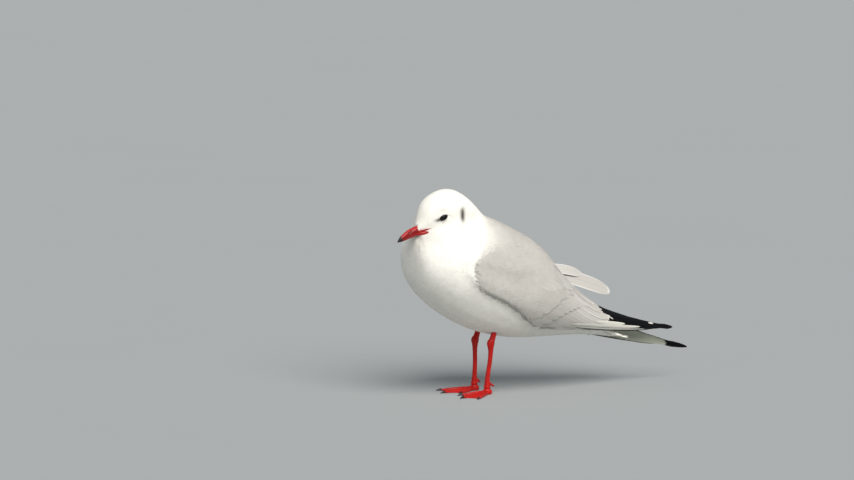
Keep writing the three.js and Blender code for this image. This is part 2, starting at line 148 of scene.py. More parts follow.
class GullStage(bpy.types.PropertyGroup):
    azimuth: FloatProperty(
        name="Azimuth", description="Camera's turn round the bird", default=math.radians(-25), subtype="ANGLE"
    )
    elevation: FloatProperty(
        name="Elevation", description="Camera's height angle", default=math.radians(7), subtype="ANGLE"
    )
    distance: length("Distance", 5.0, "From the camera to the bird")
    view_width: length("View width", 0.9223, "Width of the view at the bird")
    view_right: length("Bird to the right", 0.1203, "How far right of the view's middle the bird stands")
    view_down: length("Bird down", 0.0497, "How far below the view's middle the bird's own middle lies")
    floor: colour("Floor", "a1a5a5", "Studio floor")
    key: FloatProperty(name="Key light", description="Strength of the soft main light", default=3.55, min=0)
    fill: FloatProperty(
        name="Fill light", description="Strength of the even light all round", default=0.34, min=0
    )


def settings():
    return bpy.context.scene.gull_skin, bpy.context.scene.gull_coat, bpy.context.scene.gull_colours


# ---------------------------------------------------------------- places taken from the frame


def inside(node, x=0.5, y=0.5, z=0.5):
    """The point at these shares of a CAD node's box."""
    lo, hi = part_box(node)
    return Vector(lo[i] + (hi[i] - lo[i]) * share for i, share in enumerate((x, y, z)))


def vertices_of(mesh):
    flat = np.empty(len(mesh.vertices) * 3)
    mesh.vertices.foreach_get("co", flat)
    return flat.reshape(-1, 3)


def normals_of(mesh):
    flat = np.empty(len(mesh.vertices) * 3)
    mesh.vertices.foreach_get("normal", flat)
    return flat.reshape(-1, 3)


def unit(rows):
    return rows / np.maximum(np.linalg.norm(rows, axis=-1, keepdims=True), 1e-12)


def dot(a, b):
    return (a * b).sum(-1, keepdims=True)


def ramp(low, high, value):
    """0 below low, 1 above high, smooth in between."""
    share = np.clip((value - low) / (high - low), 0, 1)
    return share * share * (3 - 2 * share)


class Head:
    """The head's own directions, from the eyes and the tip of the bill."""

    BILL_DROP = math.radians(12)

    def __init__(self):
        left, right = inside("eye_left"), inside("eye_right")
        bill = vertices_of(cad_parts["bill_upper"].data)
        tip = Vector(bill[bill[:, 0].argmin()])
        self.centre = (left + right) / 2
        self.across = (left - right).normalized()
        level = tip - self.centre
        level = (level - self.across * level.dot(self.across)).normalized()
        rise = level.cross(self.across)
        self.ahead = level * math.cos(self.BILL_DROP) + rise * math.sin(self.BILL_DROP)
        self.up = self.ahead.cross(self.across)
        self.tip_ahead = (tip - self.centre).dot(self.ahead)

    def at(self, ahead, left, up):
        """The point this far ahead, to the left and above the middle of the eyes, in metres."""
        return self.centre + self.ahead * ahead + self.across * left + self.up * up

    def local(self, points):
        """Ahead, left and up of each point."""
        away = points - np.array(self.centre)
        return away @ np.array([self.ahead, self.across, self.up]).T


HEAD = Head()


class Spine:
    """A line from the bill through head, breast and rump to the tail, which the coat flows along."""

    STEP = 4 * MM
    REACH = 24 * MM

    def __init__(self):
        stops = [
            inside("bill_upper"),
            inside("head"),
            inside("neck"),
            inside("trunk", 0.25, 0.5, 0.6),
            inside("trunk", 0.5, 0.5, 0.42),
            inside("trunk", 0.8, 0.5, 0.2),
            inside("tail"),
        ]
        points = []
        for start, end in zip(stops, stops[1:]):
            steps = round((end - start).length / self.STEP)
            points += [start.lerp(end, i / steps) for i in range(steps)]
        line = np.array(points + [stops[-1]])
        for _ in range(12):
            line[1:-1] = (line[:-2] + line[2:]) / 2
        self.middles = (line[1:] + line[:-1]) / 2
        self.ways = unit(line[1:] - line[:-1])

    def lie(self, points, normals):
        """The way the coat lies: straight back from the bill near it, and on along the spine."""
        away = ((points[:, None, :] - self.middles[None]) ** 2).sum(-1)
        away -= away.min(1, keepdims=True)
        way = unit(np.exp(-away / (2 * self.REACH**2)) @ self.ways)
        from_bill = points - np.array(HEAD.at(24 * MM, 0, -8 * MM))
        far = ramp(50 * MM, 125 * MM, np.linalg.norm(from_bill, axis=1))[:, None]
        way = unit(from_bill) * (1 - far) + way * far
        return unit(way - normals * dot(way, normals))

    def unwrap(self, points):
        """Each point's place on the skin unrolled round the spine, from 0 to 1 each way."""
        nearest = ((points[:, None, :] - self.middles[None]) ** 2).sum(-1).argmin(1)
        away = points - self.middles[nearest]
        way = self.ways[nearest]
        above = np.stack([-way[:, 2], np.zeros(len(way)), way[:, 0]], 1)
        turn = np.arctan2(away[:, 1], (away * above).sum(1)) / math.tau + 0.5
        along = nearest + (away * way).sum(1) / self.STEP
        return np.stack([0.02 + 0.96 * turn, 0.02 + 0.96 * np.clip(along / len(self.middles), 0, 1)], 1)


SPINE = Spine()


# ---------------------------------------------------------------- making and finishing pieces


def deselect():
    if bpy.context.mode != "OBJECT":
        bpy.ops.object.mode_set(mode="OBJECT")
    bpy.ops.object.select_all(action="DESELECT")


def only(piece):
    deselect()
    piece.select_set(True)
    bpy.context.view_layer.objects.active = piece


def apply(piece, kind, **values):
    """Adds one modifier, sets it and applies it."""
    only(piece)
    modifier = piece.modifiers.new(kind.title(), kind)
    for key, value in values.items():
        setattr(modifier, key, value)
    bpy.ops.object.modifier_apply(modifier=modifier.name)


def copy_of(name, nodes):
    """One object from copies of CAD nodes, each merged by distance first."""
    parts = []
    for node in nodes:
        part = bpy.data.objects.new(name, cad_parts[node].data.copy())
        part.data.materials.clear()
        bpy.context.scene.collection.objects.link(part)
        parts.append(part)
    deselect()
    for part in parts:
        part.select_set(True)
    bpy.context.view_layer.objects.active = parts[0]
    if len(parts) > 1:
        bpy.ops.object.join()
    piece = bpy.context.view_layer.objects.active
    piece.name = name
    bpy.ops.object.mode_set(mode="EDIT")
    bpy.ops.mesh.select_all(action="SELECT")
    bpy.ops.mesh.remove_doubles(threshold=0.01 * MM)
    bpy.ops.mesh.customdata_custom_splitnormals_clear()
    bpy.ops.object.mode_set(mode="OBJECT")
    for layer in list(piece.data.uv_layers):
        piece.data.uv_layers.remove(layer)
    return piece


def largest_part(piece):
    """Keeps the largest of a mesh's separate shells."""
    only(piece)
    bpy.ops.mesh.separate(type="LOOSE")
    shells = sorted(bpy.context.selected_objects, key=lambda o: len(o.data.vertices))
    for shell in shells[:-1]:
        bpy.data.objects.remove(shell)
    shells[-1].name = piece.name
    return shells[-1]


def fused(name, nodes, seam, voxel, smoothing, plug=None):
    """Copies of CAD nodes fused into one smooth skin. A plug is a filling ball's place and radius."""
    piece = copy_of(name, nodes)
    if plug is not None:
        deselect()
        bpy.ops.mesh.primitive_ico_sphere_add(subdivisions=3, radius=plug[1], location=plug[0])
        piece.select_set(True)
        bpy.context.view_layer.objects.active = piece
        bpy.ops.object.join()
    apply(piece, "DISPLACE", strength=seam, mid_level=0)
    apply(piece, "REMESH", mode="VOXEL", voxel_size=voxel, use_smooth_shade=True)
    apply(piece, "SMOOTH", factor=0.5, iterations=smoothing)
    return largest_part(piece)


def set_points(mesh, points):
    mesh.vertices.foreach_set("co", points.astype(np.float32).ravel())
    mesh.update()


def mark(mesh, name, values):
    """Stores one number for each point."""
    values = np.broadcast_to(values, len(mesh.vertices)).astype(np.float32)
    layer = mesh.attributes.get(name) or mesh.attributes.new(name, "FLOAT", "POINT")
    layer.data.foreach_set("value", np.ascontiguousarray(values))


def mark_uv(mesh, name, corners):
    layer = mesh.uv_layers.get(name) or mesh.uv_layers.new(name=name)
    layer.data.foreach_set("uv", corners.astype(np.float32).ravel())


def corner_points(mesh):
    index = np.empty(len(mesh.loops), np.int32)
    mesh.loops.foreach_get("vertex_index", index)
    return index


def finish(piece, material, slot, replaced=()):
    """Gives a piece its material and body, and hides the CAD nodes that it stands for; slot is not used."""
    piece.data.materials.clear()
    piece.data.materials.append(material)
    piece.data.polygons.foreach_set("use_smooth", np.ones(len(piece.data.polygons), bool))
    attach(piece, "root")
    if replaced:
        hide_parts(*replaced)
    return piece


# ---------------------------------------------------------------- feather forms


class Form:
    """A closed feather of unit size: x runs from root to tip, y across and z up, as triangles."""

    def __init__(self, name, sides, stations):
        deselect()
        bpy.ops.mesh.primitive_cylinder_add(
            vertices=sides,
            radius=1,
            depth=1,
            location=(0.5, 0, 0),
            rotation=(0, math.pi / 2, 0),
            end_fill_type="NGON",
        )
        piece = bpy.context.object
        bpy.ops.object.transform_apply(location=True, rotation=True, scale=True)
        for place, _, _ in stations[1:-1]:
            bpy.ops.object.mode_set(mode="EDIT")
            bpy.ops.mesh.select_all(action="SELECT")
            bpy.ops.mesh.bisect(plane_co=(place, 0, 0), plane_no=(1, 0, 0))
            bpy.ops.object.mode_set(mode="OBJECT")
        places, widths, thicks = zip(*stations)
        for vertex in piece.data.vertices:
            x, y, z = vertex.co
            half = np.interp(x, places, widths)
            turn = math.atan2(y, z)
            across, rise = self.section(turn, sides)
            vertex.co = (x, across * half, rise * np.interp(x, places, thicks))
        bpy.ops.object.mode_set(mode="EDIT")
        bpy.ops.mesh.select_all(action="SELECT")
        bpy.ops.mesh.remove_doubles(threshold=1e-4)
        bpy.ops.mesh.quads_convert_to_tris(quad_method="FIXED", ngon_method="CLIP")
        bpy.ops.mesh.normals_make_consistent(inside=False)
        bpy.ops.object.mode_set(mode="OBJECT")
        mesh = piece.data
        self.points = vertices_of(mesh)
        self.faces = np.array([list(f.vertices) for f in mesh.polygons])
        self.top = np.array([f.normal.z > -1e-3 for f in mesh.polygons])
        bpy.data.objects.remove(piece)

    def thickened(self, thick):
        """A copy of this form with its thickness in metres."""
        made = object.__new__(Form)
        made.points, made.faces, made.top = self.points * (1, 1, thick), self.faces, self.top
        return made

    @staticmethod
    def section(turn, sides):
        """Where a ring's corner goes: three sides make a flat blade with a ridge, more make a lens."""
        if sides == 3:
            step = round(turn / (math.tau / 3)) % 3
            return ((0, 1), (1, 0), (-1, 0))[step]
        return math.sin(turn), math.cos(turn) * (1 if math.cos(turn) > 0 else 0.35)


def laid(form, root, bend, tip, low, high, half, thick, crown=0.2):
    """Copies of a form on the curves from root by bend to tip. Each argument has a row for each copy."""
    x, y, z = form.points.T
    x, y, z = x[None, :, None], y[None, :, None], z[None, :, None]
    root, bend, tip = root[:, None], bend[:, None], tip[:, None]
    line = root * (1 - x) ** 2 + bend * 2 * x * (1 - x) + tip * x * x
    normal = unit(low[:, None] * (1 - x) + high[:, None] * x)
    side = unit(np.cross(normal, (bend - root) * (1 - x) + (tip - bend) * x))
    points = line + side * y * half[:, None, None] + normal * z * thick[:, None, None]
    shading = unit(normal + side * y * crown)
    return points, shading


def level_bend(root, tip, high):
    """The bend that brings a feather's tip down level with the surface, whose normal there is high."""
    span = np.linalg.norm(tip - root, axis=1)[:, None]
    way = unit(tip - root)
    return tip - unit(way - high * dot(way, high)) * span * 0.55


def joined(name, form, points, shading, attributes, corners):
    """One mesh from laid copies of a form. points is (copies, points of the form, 3)."""
    copies, size = points.shape[:2]
    faces = (form.faces[None] + (np.arange(copies) * size)[:, None, None]).reshape(-1, 3)
    mesh = bpy.data.meshes.new(name)
    mesh.vertices.add(copies * size)
    mesh.vertices.foreach_set("co", points.astype(np.float32).ravel())
    mesh.loops.add(faces.size)
    mesh.loops.foreach_set("vertex_index", faces.astype(np.int32).ravel())
    mesh.polygons.add(len(faces))
    mesh.polygons.foreach_set("loop_start", np.arange(0, faces.size, 3, dtype=np.int32))
    mesh.polygons.foreach_set("use_smooth", np.ones(len(faces), bool))
    mesh.update(calc_edges=True)
    for key, values in attributes.items():
        mark(mesh, key, np.repeat(values, size) if np.size(values) == copies else np.ravel(values))
    for key, values in corners.items():
        mark_uv(mesh, key, values.reshape(-1, 2)[faces.ravel()])
    flip = np.where(form.top, 1.0, -1.0)
    towards = shading.reshape(-1, 3)[faces.ravel()].reshape(copies, -1, 3, 3) * flip[None, :, None, None]
    mesh.normals_split_custom_set(towards.reshape(-1, 3))
    piece = bpy.data.objects.new(name, mesh)
    bpy.context.scene.collection.objects.link(piece)
    return piece


PATCH = 0.003


def patches(form, roots):
    """Each copy's small patch on the unrolled skin, at its root's place."""
    spread = form.points[:, :2] * (PATCH, PATCH / 2)
    return SPINE.unwrap(roots)[:, None, :] + spread[None]


# ---------------------------------------------------------------- the skin and its markings


class Surface:
    """A finished mesh to lay feathers on, of which only the chosen points count."""

    def __init__(self, points, normals, chosen=None):
        self.points, self.normals = points, normals
        index = range(len(points)) if chosen is None else np.flatnonzero(chosen).tolist()
        self.tree = KDTree(len(index))
        for i in index:
            self.tree.insert(points[i], i)
        self.tree.balance()

    def drop(self, points):
        """The points moved onto the surface or its level past the edge, and the normals there."""
        index = [self.tree.find(p)[1] for p in points]
        normals = self.normals[index]
        return points - normals * dot(points - self.points[index], normals), normals


class Nearness:
    """How near points are to some CAD nodes' surfaces."""

    def __init__(self, *nodes):
        points, faces = [], []
        for node in nodes:
            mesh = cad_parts[node].data
            start = len(points)
            points += [v.co.copy() for v in mesh.vertices]
            faces += [[start + i for i in f.vertices] for f in mesh.polygons]
        self.tree = BVHTree.FromPolygons(points, faces)

    def __call__(self, points):
        return np.array([self.tree.find_nearest(Vector(p))[3] for p in points])


WINGS = Nearness("wing_left", "wing_right", "mantle", "secondaries_left", "secondaries_right")


def grey_share(points, winged):
    """1 on the back and wings, 0 on the white body, with a soft edge only at the shoulders and the nape."""
    shoulder = inside("wing_left", 0, 0.5, 0.62).z
    high = ramp(shoulder, shoulder + 26 * MM, points[:, 2])
    soft = 0.5 * MM + 7 * MM * high
    outside = 1 - ramp(0.8 * MM, 0.8 * MM + soft, winged)
    lo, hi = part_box("wing_left")
    behind = points[:, 0] - lo.x - 6 * MM * high
    within = ramp(-10 * MM * high - 1 * MM, 5 * MM + 45 * MM * high, behind)
    return outside * within


def dusk_share(points):
    """The ear spot, and the smudges before and above the eye."""
    ahead, left, up = HEAD.local(points).T
    side = ramp(7 * MM, 12 * MM, np.abs(left))
    lean = ahead + 0.29 * (up + 4 * MM)
    ear = np.exp(-(((lean + 21.5 * MM) / (2.9 * MM)) ** 2) - ((up + 4 * MM) / (7 * MM)) ** 4)
    before = 0.9 * np.exp(-(((ahead - 7.0 * MM) / (3.0 * MM)) ** 2) - ((up + 0.8 * MM) / (1.8 * MM)) ** 2)
    above = 0.2 * np.exp(-(((ahead + 1 * MM) / (5 * MM)) ** 2) - ((up - 7.5 * MM) / (1.8 * MM)) ** 2)
    return side * np.clip(1.02 * ear + before + above, 0, 1)


def blurred(mesh, values, times):
    """Values of each point averaged with its neighbours' a few times over."""
    pairs = np.empty(len(mesh.edges) * 2, np.int32)
    mesh.edges.foreach_get("vertices", pairs)
    a, b = pairs.reshape(-1, 2).T
    count = np.bincount(a, minlength=len(values)) + np.bincount(b, minlength=len(values))
    for _ in range(times):
        total = np.bincount(a, values[b], len(values)) + np.bincount(b, values[a], len(values))
        values = (values + total) / (1 + count)
    return values


def eased(mesh, points, share, times):
    """Points drawn towards the middle of their neighbours a few times over, each by its own share."""
    pairs = np.empty(len(mesh.edges) * 2, np.int32)
    mesh.edges.foreach_get("vertices", pairs)
    a, b = pairs.reshape(-1, 2).T
    size = len(points)
    count = np.maximum(np.bincount(a, minlength=size) + np.bincount(b, minlength=size), 1)[:, None]
    for _ in range(times):
        sums = [np.bincount(a, row[b], size) + np.bincount(b, row[a], size) for row in points.T]
        points = points + (np.stack(sums, 1) / count - points) * (0.5 * share)[:, None]
    return points


def sky_and_wall(mesh, sky, wall):
    """Which points see no skin within sky of their outer side, and the flesh's thickness up to wall."""
    points, normals = vertices_of(mesh), normals_of(mesh)
    tree = BVHTree.FromPolygons([Vector(p) for p in points], [list(f.vertices) for f in mesh.polygons])
    clear, thick = np.ones(len(points), bool), np.full(len(points), wall)
    start = 0.2 * MM
    for i, (point, normal) in enumerate(zip(points, normals)):
        out = Vector(normal)
        clear[i] = tree.ray_cast(Vector(point) + out * start, out, sky[i])[3] is None
        away = tree.ray_cast(Vector(point) - out * start, -out, wall)[3]
        if away is not None:
            thick[i] = away + start
    return clear, thick


def facing_out(points, normals):
    """Which points face away from the trunk's middle line, where the folded wings lie over a hollow."""
    start, end = inside("wing_left", 0.45).x, inside("wing_left", 1).x + 22 * MM
    beside = (points[:, 0] > start) & (points[:, 0] < end)
    from_line = unit((points - np.array(inside("trunk"))) * (0, 1, 1) + (0, 1e-9, 0))
    return ~beside | (dot(normals, from_line)[:, 0] > 0.2)


# Round the bill from its ridge (0 degrees) to the chin (180): how far ahead of the eyes the feathers end,
# and how far from the bill's middle line the skin makes room for the horn, both in mm.
HORN_TURNS = (0, 25, 62, 80, 95, 125, 180)
HORN_STARTS = (21.3, 23.0, 27.5, 24.5, 21.5, 20.5, 24.0)
HORN_REACH = (4.6, 6.0, 6.7, 6.9, 7.0, 6.2, 5.0)
BILL_LEVEL = 8 * MM


def past_feathers(points):
    """How far each point is past the feathers' edge and from the bill's middle line, and its turn."""
    ahead, left, up = HEAD.local(points).T
    turn = np.degrees(np.arctan2(np.abs(left), up + BILL_LEVEL))
    past = ahead - np.interp(turn, HORN_TURNS, HORN_STARTS) * MM
    return past, np.hypot(left, up + BILL_LEVEL), turn


def snout_share(points):
    """1 over the bare base of the bill, where the skin makes room for the horn."""
    past, away, turn = past_feathers(points)
    reach = np.interp(turn, HORN_TURNS, HORN_REACH) * MM
    return ramp(-0.3 * MM, 2 * MM, past) * (1 - ramp(0, 1.2 * MM, away - reach))


def flank_roll(points, normals, winged, wings):
    """How much of the flank's swell each point takes: most just under the wing's front and lower edges."""
    roll = np.zeros(len(points))
    for wing in wings.values():
        along, _ = wing.chart(points)
        span = ramp(-0.06, 0.02, along) * (1 - ramp(0.34, 0.48, along))
        roll += span * ramp(0.1, 0.5, normals[:, 1] * wing.sign)
    below = points[:, 2] < inside("wing_left", 0, 0, 0.72).z
    return roll * below * (1 - ramp(3 * MM, 15 * MM, winged)) * ramp(0, 1.5 * MM, winged)


def eye_facing(side):
    """The eyeball's middle, and the way the eye looks."""
    out = (HEAD.across * -SIDES[side] + HEAD.ahead * 0.33 + HEAD.up * 0.17).normalized()
    return inside("eye_" + side) - out * EYE_SUNK, out


EYE_BALL = 6.2 * MM
EYE_SUNK = 0.9 * MM


def round_eyes(points):
    """Points before an eyeball moved out onto the round that its lids and their feathers lie on."""
    soft = 0.35 * MM
    for side in SIDES:
        middle, out = eye_facing(side)
        away = points - np.array(middle)
        far = np.linalg.norm(away, axis=1)
        lift = soft * np.log1p(np.exp(np.clip((EYE_BALL + 0.5 * MM - far) / soft, -30, 30)))
        lift *= ramp(-1 * MM, 1.5 * MM, away @ np.array(out))
        points = points + away / far[:, None] * lift[:, None]
    return points


def build_skin(wings):
    """The skin, with its markings, and the surface that the tips of the coat lie on."""
    skin_set = settings()[0]
    plug = HEAD.at(21 * MM, 0, -8 * MM), 6.5 * MM
    flesh = FLESH + ("eye_left", "eye_right")
    skin = fused("skin", flesh, skin_set.swell, skin_set.voxel, skin_set.smoothing, plug)
    mesh = skin.data
    points, normals = vertices_of(mesh), normals_of(mesh)
    sky = np.where(points[:, 0] < inside("wing_left", 0.45).x, 10 * MM, 30 * MM)
    clear, thick = sky_and_wall(mesh, sky, 14 * MM)
    clear &= facing_out(points, normals)
    winged = WINGS(points - normals * skin_set.swell)
    sunk = sum(wing.sunk(points, normals) for wing in wings.values())
    roll = skin_set.flank * flank_roll(points, normals, winged, wings)
    outer = np.minimum(skin_set.swell, 0.6 * thick)
    inner = np.clip(thick - outer - skin_set.wall, 0, skin_set.swell)
    drawn = blurred(mesh, np.where(clear, outer + sunk - roll, inner), 8)
    local = HEAD.local(points)
    on_head = ramp(-42 * MM, -22 * MM, local[:, 0]) * ramp(-42 * MM, -24 * MM, local[:, 2])
    share = ramp(4 * MM, 10 * MM, thick) * (1 - 0.8 * on_head)
    set_points(mesh, round_eyes(eased(mesh, points - normals * drawn[:, None], blurred(mesh, share, 3), 50)))
    points, normals = vertices_of(mesh), normals_of(mesh)
    coat = Surface(points, normals, clear)
    mark(mesh, "tone", grey_share(points, winged))
    mark(mesh, "winged", winged)
    mark(mesh, "clear", clear)
    mark(mesh, "dusk", dusk_share(points))
    mark(mesh, "shade", 0.5)
    local = HEAD.local(points)
    depth = skin_set.body_depth + (skin_set.head_depth - skin_set.body_depth) * on_head
    for side in SIDES:
        away = np.linalg.norm(points - np.array(inside("eye_" + side)), axis=1)
        depth += skin_set.socket * (1 - ramp(6 * MM, 8 * MM, away))
    depth += skin_set.snout * snout_share(points)
    depth = np.minimum(depth, np.clip(0.6 * thick - drawn, 0.2 * MM, None))
    depth = blurred(mesh, np.where(clear, depth, 0), 2)
    set_points(mesh, points - normals * depth[:, None])
    mark_uv(mesh, "OFBake", SPINE.unwrap(vertices_of(mesh))[corner_points(mesh)])
    return skin, coat


# ---------------------------------------------------------------- wing chart


class Wing:
    """A folded wing from its side: 'along' runs from bend to longest tip, 'height' from edge to edge."""

    STATIONS = 64
    LAST = 0.96

    def __init__(self, side):
        self.side, self.sign = side, SIDES[side]
        nodes = [part + side for part in ("wing_", "secondaries_", "primaries_")]
        ends = []
        for node in nodes:
            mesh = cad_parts[node].data
            points = vertices_of(mesh)
            edges = np.array([list(e.vertices) for e in mesh.edges])
            ends.append(points[edges])
        ends = np.concatenate(ends)
        self.front, self.end = ends[..., 0].min(), ends[..., 0].max()
        self.xs = np.linspace(self.front + 1 * MM, self.end - 1 * MM, self.STATIONS)
        low, high = [], []
        for x in self.xs:
            a, b = ends[:, 0], ends[:, 1]
            crossing = (a[:, 0] - x) * (b[:, 0] - x) < 0
            a, b = a[crossing], b[crossing]
            z = a[:, 2] + (b[:, 2] - a[:, 2]) * (x - a[:, 0]) / (b[:, 0] - a[:, 0])
            low.append(z.min())
            high.append(z.max())
        kernel = np.ones(5) / 5
        self.low, self.high = (np.convolve(np.pad(e, 2, mode="edge"), kernel, "valid") for e in (low, high))
        piece = fused("guide_" + side, nodes, 0.25 * MM, 1.1 * MM, 16)
        points, normals = vertices_of(piece.data), normals_of(piece.data)
        points = points - normals * self.sunk(points, normals)[:, None]
        outside = normals @ np.array((0, self.sign, 0.25)) > 0.08
        self.outer = Surface(points[outside], normals[outside])
        flat = self.outer.points * (1, 0, 1)
        self.flat = KDTree(len(flat))
        for i, point in enumerate(flat):
            self.flat.insert(point, i)
        self.flat.balance()
        bpy.data.objects.remove(piece)

    def over(self, coat):
        """Lets the feathers lie on the coat's own surface, and on the wing's own only past its end."""
        self.coat = coat

    def drop(self, points):
        """The points moved onto the wing's outer side, with the normals there."""
        own, own_normals = self.outer.drop(points)
        body, body_normals = self.coat.drop(points)
        share = ramp(46 * MM, 64 * MM, points[:, 0])[:, None]
        return body * (1 - share) + own * share, unit(body_normals * (1 - share) + own_normals * share)

    def place(self, along, height):
        """Side-view place of a point of the chart."""
        x = self.front + along * (self.end - self.front)
        low, high = np.interp(x, self.xs, self.low), np.interp(x, self.xs, self.high)
        return x, low + (high - low) * height

    def chart(self, points):
        """Along and height of each point."""
        x = points[:, 0]
        height = (points[:, 2] - np.interp(x, self.xs, self.low)) / self.rise(x)
        return (x - self.front) / (self.end - self.front), height

    def sunk(self, points, normals):
        """How far the outer side lies in: below the scapular fold, and at the front and lower edges."""
        skin_set = settings()[0]
        lo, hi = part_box("wing_" + self.side)
        along, height = self.chart(points)
        x = (points[:, 0] - lo.x) / (hi.x - lo.x)
        above = points[:, 2] - lo.z - (hi.z - lo.z) * (0.665 - 0.135 * ramp(0.0, 0.55, x))
        step = 1 - ramp(-2 * MM, 3 * MM, above)
        fade = ramp(-34 * MM, -5 * MM, above) * ramp(0.0, 0.2, x) * (1 - ramp(0.5, 0.75, x))
        ends = along * (self.end - self.front)
        low = height * self.rise(points[:, 0])
        edge = 1 - ramp(1 * MM, 9 * MM, np.minimum(ends + 2 * MM, low))
        edge *= (1 - ramp(0.36, 0.5, along)) * (1 - ramp(0.75, 0.95, height))
        edge *= ramp(-14 * MM, -4 * MM, np.minimum(ends, low))
        facing = ramp(0.15, 0.5, normals[:, 1] * self.sign)
        return facing * (skin_set.fold * step * fade + skin_set.tuck * edge)

    def lie(self, points, normals):
        """The way the feathers lie: along lines of even height."""
        x = points[:, 0]
        height = np.clip(self.chart(points)[1], 0, 1)
        ahead = 9 * MM
        there = np.interp(x + ahead, self.xs, self.low) + height * self.rise(x + ahead)
        here = np.interp(x - ahead, self.xs, self.low) + height * self.rise(x - ahead)
        way = np.stack([np.full(len(x), 2 * ahead), np.zeros(len(x)), there - here], 1)
        return unit(way - normals * dot(way, normals))

    def rise(self, x):
        return np.maximum(np.interp(x, self.xs, self.high) - np.interp(x, self.xs, self.low), 2 * MM)

    def drape(self, along, height):
        """The chart's point on the outer side, with its normal. Past the wing's end it runs straight on."""
        last, step = self.LAST, 0.03
        if along > last:
            point, normal = self.drape(last, height)
            return point + (point - self.drape(last - step, height)[0]) * (along - last) / step, normal
        x, z = self.place(along, height)
        index = self.flat.find((x, 0, z))[1]
        point, normal = self.drop(np.array([[x, self.outer.points[index][1], z]]))
        return point[0], normal[0]


# ---------------------------------------------------------------- materials


def put(tree, kind, inputs=None, **values):
    """A node with its settings, and its sockets set or joined."""
    node = tree.nodes.new(kind)
    for key, value in values.items():
        setattr(node, key, value)
    for key, value in (inputs or {}).items():
        if isinstance(value, bpy.types.NodeSocket):
            tree.links.new(value, node.inputs[key])
        else:
            node.inputs[key].default_value = value
    return node


def opaque(values):
    return (*values, 1.0)


def mixed(tree, share, first, second, blend="MIX"):
    """The socket of a colour mixed from two."""
    node = put(tree, "ShaderNodeMix", {0: share, 6: first, 7: second}, data_type="RGBA", blend_type=blend)
    return node.outputs[2]


def maths(tree, operation, *values, clamp=False):
    sockets = dict(enumerate(values))
    return put(tree, "ShaderNodeMath", sockets, operation=operation, use_clamp=clamp).outputs[0]


def mapped(tree, value, low, high, to_low=0.0, to_high=1.0):
    sockets = {0: value, 1: low, 2: high, 3: to_low, 4: to_high}
    node = put(tree, "ShaderNodeMapRange", sockets, interpolation_type="SMOOTHSTEP")
    return node.outputs[0]


def attribute(tree, name):
    return put(tree, "ShaderNodeAttribute", attribute_name=name).outputs["Fac"]


def group(name, inputs, outputs):
    """An empty node group with its sockets, and its two end nodes."""
    tree = bpy.data.node_groups.new(name, "ShaderNodeTree")
    for label, kind, default in inputs:
        socket = tree.interface.new_socket(label, in_out="INPUT", socket_type="NodeSocket" + kind)
        socket.default_value = default
    for label, kind in outputs:
        tree.interface.new_socket(label, in_out="OUTPUT", socket_type="NodeSocket" + kind)
    return tree, tree.nodes.new("NodeGroupInput").outputs, tree.nodes.new("NodeGroupOutput")


def plumage_group():
    """Colour of soft plumage from its markings, with a slight mottle."""
    tree, given, out = group(
        "plumage",
        [
            ("White", "Color", (0.9, 0.9, 0.9, 1)),
            ("Grey", "Color", (0.5, 0.5, 0.5, 1)),
            ("Dusk", "Color", (0.02, 0.02, 0.02, 1)),
            ("Tone", "Float", 0.0),
            ("Mark", "Float", 0.0),
            ("Shade", "Float", 0.5),
        ],
        [("Color", "Color")],
    )
    place = put(tree, "ShaderNodeTexCoord").outputs["Object"]
    mottle = put(tree, "ShaderNodeTexNoise", {"Vector": place, "Scale": 70.0, "Detail": 2.0}).outputs["Fac"]
    base = mixed(tree, given["Tone"], given["White"], given["Grey"])
    base = mixed(tree, given["Mark"], base, given["Dusk"])
    patchy = mapped(tree, mottle, 0.3, 0.7, 0.97, 1.01)
    own = mapped(tree, given["Shade"], 0.0, 1.0, -0.05, 0.02)
    light = maths(tree, "ADD", patchy, own)
    grey = put(tree, "ShaderNodeCombineColor", {0: light, 1: light, 2: light}).outputs[0]
    tree.links.new(mixed(tree, 1.0, base, grey, "MULTIPLY"), out.inputs["Color"])
    return tree


def barb_group():
    """Fine slanting barbs on each side of a shaft, from a feather's own length and breadth."""
    tree, given, out = group(
        "barbs",
        [("Barbs", "Float", 60.0), ("Slant", "Float", 0.5)],
        [("Height", "Float"), ("Across", "Float"), ("Along", "Float")],
    )
    vane = put(tree, "ShaderNodeUVMap", uv_map="vane").outputs["UV"]
    split = put(tree, "ShaderNodeSeparateXYZ", {0: vane})
    across = maths(tree, "ABSOLUTE", maths(tree, "MULTIPLY_ADD", split.outputs["Y"], 2.0, -1.0))
    line = maths(tree, "MULTIPLY", across, given["Slant"])
    line = maths(tree, "SUBTRACT", split.outputs["X"], line)
    wave = maths(tree, "SINE", maths(tree, "MULTIPLY", line, given["Barbs"]))
    tree.links.new(wave, out.inputs["Height"])
    tree.links.new(across, out.inputs["Across"])
    tree.links.new(split.outputs["X"], out.inputs["Along"])
    return tree


def material(name, roughness, **constants):
    """A material with its Principled shader, tree and constants."""
    made = bpy.data.materials.new(name)
    made.use_nodes = True
    tree = made.node_tree
    shader = tree.nodes["Principled BSDF"]
    shader.inputs["Roughness"].default_value = roughness
    for key, value in constants.items():
        shader.inputs[key.replace("_", " ")].default_value = value
    return made, tree, shader


